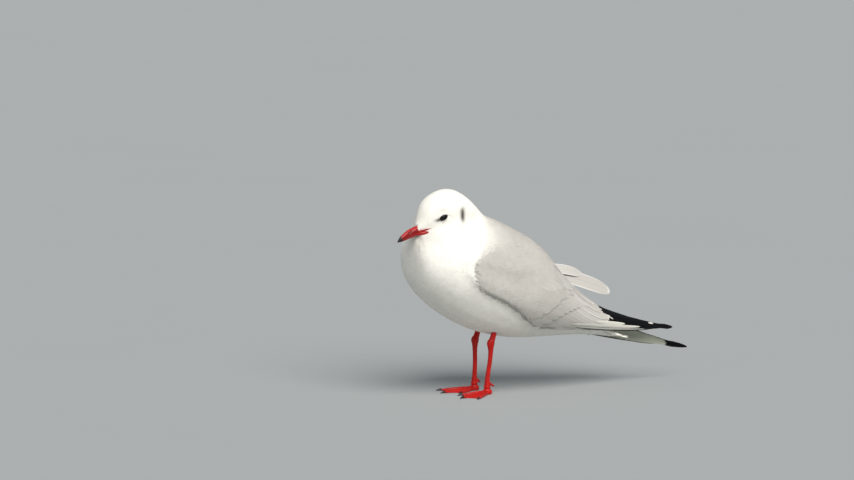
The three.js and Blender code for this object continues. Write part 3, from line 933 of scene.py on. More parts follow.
def soft_plumage(name, sheen):
    colours = settings()[2]
    made, tree, shader = material(name, 0.8, Sheen_Weight=sheen, Sheen_Roughness=0.5, Specular_IOR_Level=0.2)
    tint_node = put(
        tree,
        "ShaderNodeGroup",
        node_tree=bpy.data.node_groups["plumage"],
    )
    for key, value in (("White", colours.white), ("Grey", colours.grey), ("Dusk", colours.dusk)):
        tint_node.inputs[key].default_value = opaque(value)
    for key, source in (("Tone", "tone"), ("Mark", "dusk"), ("Shade", "shade")):
        tree.links.new(attribute(tree, source), tint_node.inputs[key])
    tree.links.new(tint_node.outputs["Color"], shader.inputs["Base Color"])
    return made


def flight_material(name, base, fringe, roughness, underside_grey_and_shade=None, gloss=0.3):
    """Vanes with a shaft, slanting barbs and a paler fringe; the under side may have its own colour, which
    holds painted shade.
    """
    made, tree, shader = material(name, roughness, Specular_IOR_Level=gloss)
    barbs = bpy.data.node_groups["barbs"]
    lines = put(tree, "ShaderNodeGroup", {"Barbs": 240.0, "Slant": 0.35}, node_tree=barbs)
    across, along = lines.outputs["Across"], lines.outputs["Along"]
    edge = maths(tree, "MAXIMUM", mapped(tree, across, 0.72, 0.97), mapped(tree, along, 0.93, 0.995))
    edge = maths(tree, "MULTIPLY", edge, attribute(tree, "fringe"))
    body = mixed(tree, edge, opaque(base), opaque(fringe))
    shaft = mapped(tree, across, 0.03, 0.07, 0.25, 0.0)
    body = mixed(tree, shaft, body, opaque([c * 0.55 for c in base]))
    if underside_grey_and_shade is not None:
        # The under side's grey-green is partly painted shade; toward the tip it keeps the upper side's
        # colour.
        below = mixed(tree, mapped(tree, along, 0.8, 0.825), opaque(underside_grey_and_shade), body)
        body = mixed(tree, attribute(tree, "under"), body, below)
    shade = mapped(tree, attribute(tree, "shade"), 0.0, 1.0, 0.93, 1.04)
    tone = put(tree, "ShaderNodeCombineColor", {0: shade, 1: shade, 2: shade}).outputs[0]
    tree.links.new(mixed(tree, 1.0, body, tone, "MULTIPLY"), shader.inputs["Base Color"])
    relief = {"Strength": 0.25, "Distance": 0.05 * MM, "Height": lines.outputs["Height"]}
    bump = put(tree, "ShaderNodeBump", relief)
    tree.links.new(bump.outputs["Normal"], shader.inputs["Normal"])
    return made


def bill_material():
    """Dark red horn, paler as even tone and as painted highlight on the upward-facing top, with painted shade
    in the nostril slits and a black tip.
    """
    colours = settings()[2]
    made, tree, shader = material(
        "red_horn", 0.38, Coat_Weight=0.1, Coat_Roughness=0.25, Specular_IOR_Level=0.3
    )
    place = put(tree, "ShaderNodeTexCoord").outputs["Object"]
    streaks = put(tree, "ShaderNodeTexNoise", {"Vector": place, "Scale": 420.0, "Detail": 3.0}).outputs["Fac"]
    # Paler horn by the mark: even tone on the lower half and gape, painted highlight where the upper half
    # faces up.
    base = mixed(tree, attribute(tree, "pale_tone_and_lit_top"), opaque(colours.bill), opaque(colours.bill_pale_and_lit_top))
    dark = opaque([c * 0.5 for c in colours.bill])
    base = mixed(tree, mapped(tree, streaks, 0.45, 0.75, 0, 0.35), base, dark)
    # The bill's black end, and painted shade in the nostril slits, both come from the tip mark.
    base = mixed(tree, attribute(tree, "tip"), base, opaque(colours.tip))
    tree.links.new(base, shader.inputs["Base Color"])
    bump = put(tree, "ShaderNodeBump", {"Strength": 0.2, "Distance": 0.06 * MM, "Height": streaks})
    tree.links.new(bump.outputs["Normal"], shader.inputs["Normal"])


def leg_material():
    """Red scaled skin, with painted shade in the creases between the scales."""
    colours = settings()[2]
    made, tree, shader = material(
        "scaled_skin", 0.45, Coat_Weight=0.08, Coat_Roughness=0.3, Specular_IOR_Level=0.25
    )
    place = put(tree, "ShaderNodeTexCoord").outputs["Object"]
    scales = put(tree, "ShaderNodeTexVoronoi", {"Vector": place, "Scale": 900.0}, feature="DISTANCE_TO_EDGE")
    cells = scales.outputs["Distance"]
    wear = put(tree, "ShaderNodeTexNoise", {"Vector": place, "Scale": 120.0, "Detail": 3.0}).outputs["Fac"]
    # Painted shade along the scales' edges and in the grooves.
    crease_shade = mapped(tree, cells, 0.02, 0.14, 1, 0)
    crease_shade = maths(tree, "MULTIPLY", crease_shade, 0.45)
    crease_shade = maths(tree, "MAXIMUM", crease_shade, attribute(tree, "crease_shade"))
    base = mixed(tree, crease_shade, opaque(colours.leg), opaque(colours.leg_crease_shade))
    worn = opaque([min(1, c * 1.5) for c in colours.leg])
    base = mixed(tree, mapped(tree, wear, 0.35, 0.8, 0, 0.4), base, worn)
    tree.links.new(base, shader.inputs["Base Color"])
    relief = {"Strength": 0.35, "Distance": 0.08 * MM, "Height": mapped(tree, cells, 0.0, 0.2)}
    bump = put(tree, "ShaderNodeBump", relief)
    tree.links.new(bump.outputs["Normal"], shader.inputs["Normal"])


def horn_material():
    """Blackish horn of the claws."""
    colours = settings()[2]
    made, tree, shader = material("dark_horn", 0.35, Specular_IOR_Level=0.5)
    place = put(tree, "ShaderNodeTexCoord").outputs["Object"]
    grain = put(tree, "ShaderNodeTexNoise", {"Vector": place, "Scale": 700.0, "Detail": 2.0}).outputs["Fac"]
    base = mixed(tree, grain, opaque(colours.tip), opaque([c * 2.6 for c in colours.tip]))
    tree.links.new(base, shader.inputs["Base Color"])


def eye_material():
    """Near-black wet eye: a black pupil in a dark brown iris."""
    colours = settings()[2]
    made, tree, shader = material(
        "eye_gloss", 0.08, Coat_Weight=0.15, Coat_Roughness=0.03, Specular_IOR_Level=0.25
    )
    place = put(tree, "ShaderNodeTexCoord").outputs["Object"]
    fibres = put(tree, "ShaderNodeTexNoise", {"Vector": place, "Scale": 900.0, "Detail": 2.0}).outputs["Fac"]
    iris = mixed(tree, fibres, opaque(colours.iris), opaque([c * 1.5 for c in colours.iris]))
    base = mixed(tree, mapped(tree, attribute(tree, "pupil"), 0.45, 0.55), iris, (0.002, 0.002, 0.002, 1))
    tree.links.new(base, shader.inputs["Base Color"])


def lid_material():
    """Bare dark skin at the lids' edge, white beyond it."""
    colours = settings()[2]
    made, tree, shader = material("lid_skin", 0.6, Specular_IOR_Level=0.3)
    place = put(tree, "ShaderNodeTexCoord").outputs["Object"]
    grain = put(tree, "ShaderNodeTexNoise", {"Vector": place, "Scale": 1500.0, "Detail": 2.0}).outputs["Fac"]
    rim = mixed(tree, grain, opaque(colours.dusk), opaque([c * 1.4 for c in colours.dusk]))
    base = mixed(tree, attribute(tree, "rim"), opaque(colours.white), rim)
    tree.links.new(base, shader.inputs["Base Color"])
    bump = put(tree, "ShaderNodeBump", {"Strength": 0.4, "Distance": 0.1 * MM, "Height": grain})
    tree.links.new(bump.outputs["Normal"], shader.inputs["Normal"])


# ---------------------------------------------------------------- soft coat


class Roots:
    """Seeded roots scattered over the skin, under the surface that the tips lie on."""

    def __init__(self, skin, coat):
        self.surface = coat
        self.skin = vertices_of(skin.data)
        self.tone, self.winged, self.clear = (
            self.marked(skin.data, name) for name in ("tone", "winged", "clear")
        )
        self.cell = settings()[0].voxel
        self.rng = None

    @staticmethod
    def marked(mesh, name):
        values = np.empty(len(mesh.vertices), np.float32)
        mesh.attributes[name].data.foreach_get("value", values)
        return values

    def nearest(self, points):
        return [self.surface.tree.find(p)[1] for p in points]

    def spaced(self, gap, where):
        """Even roots on the open skin where the mask says, about gap apart. gap has a row for each point."""
        steps = np.round(np.log2(gap / MM) * 3) / 3
        places, index = [], []
        for step in np.unique(steps[where]):
            size = float(2**step * MM)
            chosen = np.flatnonzero(where & (self.clear > 0.5) & (steps == step))
            chosen = self.rng.permutation(np.repeat(chosen, 3 if size < 1.7 * self.cell else 1))
            normals = self.surface.normals[chosen]
            shift = self.rng.uniform(-0.6, 0.6, (len(chosen), 3)) * self.cell
            shift -= normals * dot(shift, normals)
            kept = well_apart((self.surface.points[chosen] + shift).tolist(), size)
            places.append(self.skin[chosen[kept]] + shift[kept])
            index.append(chosen[kept])
        index = np.concatenate(index)
        return np.concatenate(places), self.surface.normals[index], index


def well_apart(points, gap):
    """Numbers of the points that lie no nearer than gap to one kept before."""
    taken = {}
    kept = []
    steps = [(i, j, k) for i in (-1, 0, 1) for j in (-1, 0, 1) for k in (-1, 0, 1)]
    for number, (x, y, z) in enumerate(points):
        a, b, c = int(x // gap), int(y // gap), int(z // gap)
        near = (other for i, j, k in steps for other in taken.get((a + i, b + j, c + k), ()))
        if all((x - p) ** 2 + (y - q) ** 2 + (z - r) ** 2 > gap * gap for p, q, r in near):
            taken.setdefault((a, b, c), []).append((x, y, z))
            kept.append(number)
    return np.array(kept, int)


def fan(surface, roots, normals, ways, long, wide, depth, barbs, rng):
    """Each root's tuft as a fan of barbs: rows of root, bend, tip, two normals and the tuft's number."""
    count = len(roots)
    side = unit(np.cross(normals, ways))
    spread = np.linspace(-1, 1, barbs)[None] + rng.uniform(-0.12, 0.12, (count, barbs))
    reach = long[:, None] * (1 - 0.36 * spread**2) * rng.uniform(0.86, 1.06, (count, barbs))
    start = long[:, None] * (0.02 + 0.22 * np.abs(spread))
    open_out = side[:, None] * (wide[:, None] * spread)[..., None]
    narrow = side[:, None] * (0.22 * wide[:, None] * spread)[..., None]
    base = roots[:, None] + ways[:, None] * start[..., None] + narrow
    tips = roots[:, None] + ways[:, None] * reach[..., None] + open_out
    base, tips = base.reshape(-1, 3), tips.reshape(-1, 3)
    low = np.repeat(normals, barbs, 0)
    lifted = np.repeat(depth, barbs)[:, None]
    onto, high = surface.drop(tips)
    tips = onto + high * lifted * rng.uniform(-1, 1, (len(tips), 1))
    base = base - low * 0.15 * MM
    return base, level_bend(base, tips, high), tips, low, high, np.repeat(np.arange(count), barbs)


def coat_piece(name, form, rows, half, thick, marks, roots, finishing, crown):
    """Builds the laid tufts in as many pieces as the limit on triangles needs, from front to back."""
    base, bend, tips, low, high, owner = rows
    most = TRIANGLES // len(form.faces)
    order = np.argsort(base[:, 0], kind="stable")
    pieces = math.ceil(len(order) / most)
    for number, chosen in enumerate(np.array_split(order, pieces)):
        bent = (rows_of[chosen] for rows_of in (base, bend, tips, low, high, half, thick))
        points, shading = laid(form, *bent, crown)
        label = name if pieces == 1 else f"{name}_{number + 1}"
        own = owner[chosen]
        attributes = {key: values[own] for key, values in marks.items()}
        attributes["dusk"] = dusk_share(points.reshape(-1, 3))
        piece = joined(label, form, points, shading, attributes, {"OFBake": patches(form, roots[own])})
        finish(piece, *finishing)


TRIANGLES = 190_000


def clumps(points, size, seed):
    """A smooth random number from 0 to 1 for each point, alike over about size."""
    rng = np.random.default_rng(seed)
    waves = rng.normal(size=(14, 3)) / size
    phase = rng.uniform(0, math.tau, 14)
    return 0.5 + 0.5 * np.clip(np.sin(points @ waves.T + phase).sum(1) / 5, -1, 1)


def near_eye(points):
    """Distance to the nearer eye's axis, in its own almond's size, so that 1 is the lids' edge."""
    ahead, left, up = HEAD.local(points).T
    lean = LID_TILT
    long = ahead * math.cos(lean) - up * math.sin(lean)
    high = ahead * math.sin(lean) + up * math.cos(lean)
    return np.sqrt((long / LID_LONG) ** 2 + (high / LID_HIGH) ** 2) + np.where(np.abs(left) < 8 * MM, 9, 0)


LID_TILT = math.radians(-15)
LID_LONG = 5.3 * MM
LID_HIGH = 2.6 * MM


def gape(points):
    """1 on the bare corners of the mouth behind the bill."""
    ahead, left, up = HEAD.local(points).T
    upper = np.abs(up + 8.0 * MM) < 1.9 * MM * ramp(12 * MM, 24 * MM, ahead)
    lower = (np.abs(up + 10.6 * MM) < 1.9 * MM) & (ahead > 19.5 * MM)
    return (upper | lower) & (ahead > 12.5 * MM) & (np.abs(left) > 2 * MM)


def around_eyes(places, normals, ways):
    """The ways turned aside so that the feathers part round the eyes."""
    for side in SIDES:
        middle = np.array(inside("eye_" + side))
        out = places - middle
        away = np.linalg.norm(out, axis=1)
        out = unit(out - normals * dot(out, normals))
        share = (1 - ramp(6.5 * MM, 10 * MM, away))[:, None]
        ways = ways - out * np.minimum(dot(ways, out), 0) * share + out * 0.25 * share
    return unit(ways - normals * dot(ways, normals))


def on_face(points):
    """1 on the face, 0 on the body."""
    ahead, left, up = HEAD.local(points).T
    return ramp(-40 * MM, -6 * MM, ahead) * ramp(-40 * MM, -16 * MM, up)


def bill_base(points):
    """1 round the base of the bill."""
    return ramp(6 * MM, 20 * MM, HEAD.local(points)[:, 0]) * on_face(points)


def covert_limit(along, height):
    """How far back the small feathers reach at each height of the wing: to the rows of long ones."""
    greater = 0.345 + 0.235 * np.clip((height - 0.03) / 0.68, 0, 1) ** 0.8
    return np.where(height < 0.71, greater - 0.085, 0.42)


def coat_area(roots, wings):
    """Where tufts stand: not in the eyes, the gape or the bill's base, or under the long feathers."""
    points = roots.surface.points
    area = (near_eye(points) > 1.3) & ~gape(points) & (snout_share(points) < 0.5)
    area &= points[:, 0] < inside("tail", 0.4).x
    for wing in wings.values():
        along, height = wing.chart(points)
        before = along < covert_limit(along, height) - 0.03
        below = (roots.winged > 1.0 * MM) & ((along < 0.4) | (height < -0.02) | (height > 1.1))
        between = (np.abs(points[:, 1]) < 13 * MM) & (height > 0.8) & (along < 0.53)
        area &= before | below | between | (points[:, 1] * wing.sign < 0)
    return area


def soft_coat(roots, wings):
    """The whole soft coat: each tuft a fan of barbs, white or grey by the place of its root."""
    coat = settings()[1]
    rng = np.random.default_rng(coat.seed)
    roots.rng = rng
    points = roots.surface.points
    winged = 1 - ramp(1 * MM, 9 * MM, roots.winged)
    gap = coat.body_gap + (coat.wing_gap - coat.body_gap) * winged
    gap = gap + (coat.head_gap - gap) * on_face(points)
    gap = gap * (1 - 0.25 * np.maximum(bill_base(points), 1.5 * (near_eye(points) < 2.1)))
    places, normals, index = roots.spaced(gap, coat_area(roots, wings))
    face, winged = on_face(places), winged[index]
    near = ramp(1.1, 2.6, near_eye(places))

    over = np.zeros_like(places)
    for side, wing in wings.items():
        own = places[:, 1] * wing.sign > 0
        over[own] = wing.lie(places[own], normals[own])
    ways = SPINE.lie(places, normals) * (1 - winged)[:, None] + over * winged[:, None]
    sway = (clumps(places, 9 * MM, 3) - 0.5) * (0.35 - 0.22 * winged) * near
    sway += rng.normal(0, 1, len(places)) * (0.06 - 0.03 * winged)
    ways = unit(ways + np.cross(normals, ways) * sway[:, None])
    ways = around_eyes(places, normals, ways)

    long = coat.body_length + (coat.wing_length - coat.body_length) * winged
    long = long + (coat.head_length - long) * face
    long = long * (1 - 0.45 * bill_base(places)) * (0.5 + 0.5 * near) * rng.uniform(0.88, 1.1, len(places))
    tone = roots.tone[index]
    for turn in range(8):
        tips = places + ways * long[:, None]
        past = near_eye(tips) < 1.12
        if turn > 3:
            long = np.where(past, long * 0.78, long)
            continue
        for wing in wings.values():
            along, height = wing.chart(tips)
            most = 0.4 * MM + 5.6 * MM * (1 - ramp(0.24, 0.33, along))
            beyond = np.minimum(along * (wing.end - wing.front), height * wing.rise(tips[:, 0])) > most
            past |= beyond & (along < 0.5) & (height < 0.7) & (tips[:, 1] * wing.sign > 0) & (tone < 0.3)
        long = np.where(past, long * 0.78, long)
    wide = long * (0.3 - 0.06 * winged)
    depth = long * 0.012 * (0.6 + 0.8 * clumps(places, 14 * MM, 5)) * (1 - 0.5 * winged)
    form = Form("barb", 3, [(0, 0.45, 0.6), (0.62, 1, 1), (1, 0, 0)])
    tones = roots.tone[roots.nearest(places + ways * long[:, None] * 0.3)]
    marks = {"tone": tones, "shade": rng.random(len(places))}
    barbs = 9
    rows = fan(roots.surface, places, normals, ways, long, wide, depth, barbs, rng)
    clear_of_eyes = (near_eye(rows[2]) > 1.08) & (near_eye((rows[1] + rows[2]) / 2) > 1.08)
    rows = tuple(row[clear_of_eyes] for row in rows)
    owner = rows[-1]
    half = (wide * 2 / barbs)[owner] * rng.uniform(0.9, 1.25, len(owner))
    grey = marks["tone"][owner] > 0.5
    for kind, mask in (("white", ~grey), ("grey", grey)):
        finishing = bpy.data.materials["plumage_" + kind], kind + "_feathers"
        some = tuple(row[mask] for row in rows)
        coat_piece("coat_" + kind, form, some, half[mask], half[mask] * 0.28, marks, places, finishing, 0.12)


# ---------------------------------------------------------------- long feathers


class Feather:
    """One long feather: where its tip lies on a wing's chart, and its size."""

    def __init__(self, tip, long, root_height, half, level=0.0, roll=0.0, fringe=1.0, root_dip=1.6 * MM):
        self.tip, self.long, self.root_height = tip, long, root_height
        self.half, self.level, self.roll, self.fringe, self.root_dip = half, level, roll, fringe, root_dip

    def spine(self, wing, steps=12):
        """Points, normals and sideways directions from root to tip along the wing."""
        along, height = self.tip
        share = np.linspace(0, 1, steps)
        span = self.long / (wing.end - wing.front)
        rise = self.root_height - height
        places = [wing.drape(along - (1 - s) * span, height + rise * (1 - s)) for s in share]
        line = np.array([p for p, _ in places])
        normals = np.array([n for _, n in places])
        for _ in range(3):
            line[1:-1] = (line[:-2] + line[1:-1] * 2 + line[2:]) / 4
            normals[1:-1] = normals[:-2] + normals[1:-1] + normals[2:]
            normals = unit(normals)
        ways = unit(np.gradient(line, axis=0))
        sides = unit(np.cross(normals, ways))
        return share, line, normals, sides

    def lay(self, wing, form):
        """The form's points laid on the wing along this feather, with their shading."""
        share, line, normals, sides = self.spine(wing)
        x, y, z = form.points.T
        middle, normal, side = (
            np.stack([np.interp(x, share, rows[:, axis]) for axis in range(3)], 1)
            for rows in (line, normals, sides)
        )
        upper = np.sign(side[:, 2].sum())
        flat = middle + side * (y * self.half)[:, None]
        inside_end = flat[:, 0] < wing.place(wing.LAST, 0)[0]
        flat[inside_end] = wing.drop(flat[inside_end])[0]
        rise = self.level - self.root_dip * (1 - x) ** 2 - self.roll * y * upper * self.half
        points = flat + normal * (rise + z)[:, None]
        return points, unit(normal + side * y[:, None] * 0.3)


def feather_piece(name, wing, feathers, form, thick, finishing, seed):
    """One mesh of long feathers with their shafts."""
    rng = np.random.default_rng(seed)
    scaled = form.thickened(thick)
    points, shading = zip(*(f.lay(wing, scaled) for f in feathers))
    count = len(feathers)
    along, across = form.points[:, 0], (form.points[:, 1] + 1) / 2
    vane = np.broadcast_to(np.stack([along, across], 1), (count, len(along), 2))
    row = (np.arange(count) / count)[:, None]
    down = np.broadcast_to(along * 0.96 + 0.02, (count, len(along)))
    bake = np.stack([down, row + across * 0.42 / count + 0.04 / count], 2)
    marks = {"shade": rng.random(count), "fringe": np.array([f.fringe for f in feathers])}
    piece = joined(name, form, np.array(points), np.array(shading), marks, {"OFBake": bake, "vane": vane})
    below = np.tile(~form.top, count).repeat(3)
    layer = piece.data.attributes.new("under", "FLOAT", "CORNER")
    layer.data.foreach_set("value", below.astype(np.float32))
    shifted = np.empty(len(below) * 2, np.float32)
    bake_layer = piece.data.uv_layers["OFBake"]
    bake_layer.data.foreach_get("uv", shifted)
    shifted = shifted.reshape(-1, 2)
    shifted[below, 1] += 0.5 / count
    bake_layer.data.foreach_set("uv", shifted.ravel())
    return finish(piece, *finishing)


def primaries(wing):
    """The black ends of the outer flight feathers, longest first, each tucked over the one below."""
    shapes = [
        (1.0, 0.45, 128, 0.10, 5.0),
        (0.99, 0.58, 124, 0.20, 5.6),
        (0.955, 0.66, 116, 0.34, 6.2),
        (0.905, 0.74, 106, 0.50, 6.5),
        (0.85, 0.80, 96, 0.66, 6.6),
        (0.79, 0.86, 84, 0.80, 6.6),
    ]
    further = 0.026 if wing.sign > 0 else 0.022
    feathers = [
        Feather((along + further, height), long * MM, root, half * MM, (-1.3 + 0.22 * i) * MM, 0.05, 0.0)
        for i, (along, height, long, root, half) in enumerate(shapes)
    ]
    lowest = Feather((0.895, -0.03), 110 * MM, 0.05, 0.9 * MM, 0.1 * MM, 0, 0.0)
    return feathers + [lowest]


def flight_rows(wing):
    """The grey rows: secondaries, greater coverts, tertials and the long scapulars over them."""
    rows = []
    for i in range(8):
        share = i / 7
        tip = (0.60 + 0.088 * math.sin(share * math.pi / 2), 0.02 + 0.52 * share)
        rows.append(Feather(tip, 76 * MM, tip[1] + 0.12, 7.5 * MM, (-1.2 + 0.06 * i) * MM, 0.05, 0.35))
    for i in range(10):
        share = i / 9
        tip = (0.345 + 0.235 * share**0.8, 0.03 + 0.68 * share)
        rows.append(Feather(tip, 42 * MM, tip[1] + 0.08, 6.5 * MM, (-0.75 + 0.05 * i) * MM, 0.05, 0.3))
    tertials = [(0.692, 0.66), (0.668, 0.80), (0.625, 0.89), (0.58, 0.94)]
    for i, tip in enumerate(tertials):
        long, level = (64 - 4 * i) * MM, (-0.35 + 0.12 * i) * MM
        rows.append(Feather(tip, long, tip[1] + 0.03, 9 * MM, level, 0.05, 1.0))
    scapulars = [(0.40, 0.56), (0.435, 0.64), (0.47, 0.72), (0.505, 0.80), (0.52, 0.88), (0.50, 0.95)]
    for i, tip in enumerate(scapulars):
        level = (-0.1 + 0.06 * i) * MM
        rows.append(Feather(tip, 38 * MM, tip[1] + 0.02, 8.5 * MM, level, 0.04, 0.6))
    return rows


def white_streaks(wing):
    """The pale outer webs that show along the lower edge of the black."""
    shapes = [
        (0.87, 0.10, 100, 0.07, 1.1),
        (0.846, 0.30, 96, 0.11, 2.0),
        (0.767, 0.42, 42, 0.30, 1.9),
        (0.918, 0.72, 6, 0.74, 1.2),
        (0.705, 0.55, 5, 0.62, 0.8),
    ]
    return [
        Feather((along, height), long * MM, root, half * MM, (-0.15 + 0.1 * i) * MM, 0, 0.0, 0.3 * MM)
        for i, (along, height, long, root, half) in enumerate(shapes)
    ]


def free_feather(form, root, tip, out, arch, half, thick):
    """A form bent between two points in the air, its upper side facing out."""
    root, tip = np.array([root]), np.array([tip])
    way = unit(tip - root)
    out = unit(np.array([out]) - way * dot(np.array([out]), way))
    span = np.linalg.norm(tip - root)
    bend = (root + tip) / 2 + out * 2 * arch
    low = unit(out - way * 4 * arch / span)
    high = unit(out + way * 4 * arch / span)
    return laid(form, root, bend, tip, low, high, np.array([half]), np.array([thick]), 0.35)


# ---------------------------------------------------------------- operators


class GULL_OT_stage(bpy.types.Operator):
    """Pale floor, soft light and the camera"""

    bl_idname = "gull.stage"
    bl_label = "Stage"

    def execute(self, context):
        stage = context.scene.gull_stage
        deselect()
        bpy.ops.mesh.primitive_plane_add(size=80, location=(0, 0, 0))
        floor = context.object
        floor.name = "floor"
        made, tree, shader = material("floor", 0.9)
        place = put(tree, "ShaderNodeTexCoord").outputs["Object"]
        grain = put(tree, "ShaderNodeTexNoise", {"Vector": place, "Scale": 3.0, "Detail": 3.0}).outputs["Fac"]
        low, high = opaque([c * 0.97 for c in stage.floor]), opaque(stage.floor)
        tree.links.new(mixed(tree, grain, low, high), shader.inputs["Base Color"])
        floor.data.materials.append(made)

        lo, hi = CAD_BOX
        turn, rise = stage.azimuth, stage.elevation
        back = Vector((math.sin(turn) * math.cos(rise), -math.cos(turn) * math.cos(rise), math.sin(rise)))
        right = Vector((math.cos(turn), math.sin(turn), 0))
        above = back.cross(right)
        target = (lo + hi) / 2 - right * stage.view_right + above * stage.view_down
        bpy.ops.object.camera_add(location=target + back * stage.distance)
        camera = context.object
        camera.rotation_mode = "QUATERNION"
        camera.rotation_quaternion = back.to_track_quat("Z", "Y")
        camera.data.sensor_width = 36
        camera.data.lens = 36 * stage.distance / stage.view_width
        camera.data.clip_end = 200
        context.scene.camera = camera

        bpy.ops.object.light_add(type="SUN")
        key = context.object
        key.name = "key"
        key.data.energy = stage.key
        key.data.angle = math.radians(50)
        key.data.color = (1.0, 0.975, 0.94)
        from_where = back + right * 0.35 + UP * 1.05
        key.rotation_mode = "QUATERNION"
        key.rotation_quaternion = from_where.to_track_quat("Z", "Y")

        world = bpy.data.worlds.new("studio")
        context.scene.world = world
        world.use_nodes = True
        ground = world.node_tree.nodes["Background"]
        ground.inputs["Color"].default_value = (0.86, 0.92, 1.0, 1)
        ground.inputs["Strength"].default_value = stage.fill
        context.scene.view_settings.view_transform = "Standard"
        return {"FINISHED"}


class GULL_OT_finishes(bpy.types.Operator):
    """Every feather, horn and skin material"""

    bl_idname = "gull.finishes"
    bl_label = "Finishes"

    def execute(self, context):
        plumage_group()
        barb_group()
        colours = context.scene.gull_colours
        soft_plumage("plumage_white", 0.12)
        soft_plumage("plumage_grey", 0.05)
        flight_material("flight_grey", colours.grey, colours.pale, 0.7)
        flight_material("flight_black", colours.black, colours.underside_grey_and_shade, 0.55, colours.underside_grey_and_shade, 0.12)
        # The tail and pale webs take the duller white, which holds painted shade.
        flight_material("flight_white", colours.shaded_web, colours.shaded_web, 0.7)
        bill_material()
        leg_material()
        horn_material()
        eye_material()
        lid_material()
        return {"FINISHED"}


BUILT = {}


class GULL_OT_coat(bpy.types.Operator):
    """The skin with its white tufts and grey coverts"""

    bl_idname = "gull.coat"
    bl_label = "Skin and coat"

    def execute(self, context):
        wings = {side: Wing(side) for side in SIDES}
        skin, coat = build_skin(wings)
        for wing in wings.values():
            wing.over(coat)
        BUILT.update(wings)
        soft_coat(Roots(skin, coat), wings)
        finish(skin, bpy.data.materials["plumage_white"], "white_feathers", FLESH)
        return {"FINISHED"}


class GULL_OT_flight(bpy.types.Operator):
    """Flight feathers of both wings, the raised tertials and the tail"""

    bl_idname = "gull.flight"
    bl_label = "Flight feathers"

    def execute(self, context):
        vane = Form("vane", 8, VANE)
        pointed = Form("pointed", 8, POINTED)
        if not BUILT:
            raise RuntimeError("make the skin and coat first: the flight feathers lie on them")
        for side, wing in BUILT.items():
            black = (bpy.data.materials["flight_black"], "black_feathers", ("primaries_" + side,))
            feather_piece("primaries_vanes_" + side, wing, primaries(wing), pointed, 0.45 * MM, black, 11)
            grey = (bpy.data.materials["flight_grey"], "grey_feathers")
            feather_piece("flight_vanes_" + side, wing, flight_rows(wing), vane, 0.35 * MM, grey, 12)
            white = (bpy.data.materials["flight_white"], "white_feathers")
            feather_piece("pale_webs_" + side, wing, white_streaks(wing), pointed, 0.3 * MM, white, 13)
        self.raised(vane)
        self.tail(vane)
        return {"FINISHED"}

    def raised(self, form):
        """The two tertials of the right wing that stand clear of it."""
        node = "tertials_right"
        shapes = [
            ((-0.109, 0.31, 0.86), (1.045, 0.57, 0.06), 2.6, 10.5),
            ((-0.2, 0.36, 0.93), (0.60, 0.74, 0.62), 4.0, 6.8),
        ]
        facing, thick = (0, -0.72, 0.7), 0.45 * MM
        laid_out = []
        for root, tip, arch, half in shapes:
            ends = inside(node, *root), inside(node, *tip)
            laid_out.append(free_feather(form, *ends, facing, arch * MM, half * MM, thick))
        grey = bpy.data.materials["flight_grey"], "grey_feathers", (node,)
        loose_piece("raised_tertials", form, laid_out, 1.0, grey)

    def tail(self, form):
        """The tail feathers, spread in a narrow fan."""
        laid_out = []
        count = 10
        for i in range(count):
            share = (i + 0.5) / count * 2 - 1
            root = inside("tail", -0.5, 0.5, 0.55) + Vector((0, share * 4 * MM, 0))
            tip = inside("tail", 0.99 - 0.05 * abs(share), 0.5 + 0.36 * share, 0.04)
            tip += Vector((0, 0, (0.5 - abs(share)) * 1.2 * MM))
            laid_out.append(free_feather(form, root, tip, (0.2, 0, 1), 0.6 * MM, 5.2 * MM, 0.35 * MM))
        loose_piece("tail_vanes", form, laid_out, 0.0, (bpy.data.materials["flight_white"], "white_feathers"))


def loose_piece(name, form, laid_out, fringe, finishing):
    """One mesh of feathers laid in the air."""
    points = np.concatenate([p for p, _ in laid_out])
    shading = np.concatenate([s for _, s in laid_out])
    count = len(points)
    along, across = form.points[:, 0], (form.points[:, 1] + 1) / 2
    vane = np.broadcast_to(np.stack([along, across], 1), (count, len(along), 2))
    row = (np.arange(count) / count)[:, None]
    down = np.broadcast_to(along * 0.96 + 0.02, (count, len(along)))
    bake = np.stack([down, row + across * 0.9 / count + 0.04 / count], 2)
    marks = {"shade": np.linspace(0.2, 0.8, count), "fringe": np.full(count, fringe)}
    return finish(joined(name, form, points, shading, marks, {"OFBake": bake, "vane": vane}), *finishing)


VANE = [
    (0, 0.22, 0.6), (0.08, 0.5, 1), (0.2, 0.8, 1), (0.35, 0.95, 1), (0.55, 1, 1), (0.7, 0.99, 0.9),
    (0.82, 0.93, 0.8), (0.9, 0.8, 0.7), (0.95, 0.62, 0.6), (0.98, 0.42, 0.5), (1, 0.08, 0.3),
]
POINTED = [
    (0, 0.4, 0.6), (0.1, 0.75, 1), (0.25, 0.95, 1), (0.45, 1, 1), (0.62, 0.96, 1), (0.76, 0.87, 0.9),
    (0.87, 0.71, 0.8), (0.94, 0.52, 0.7), (0.98, 0.32, 0.5), (1, 0.08, 0.3),
]


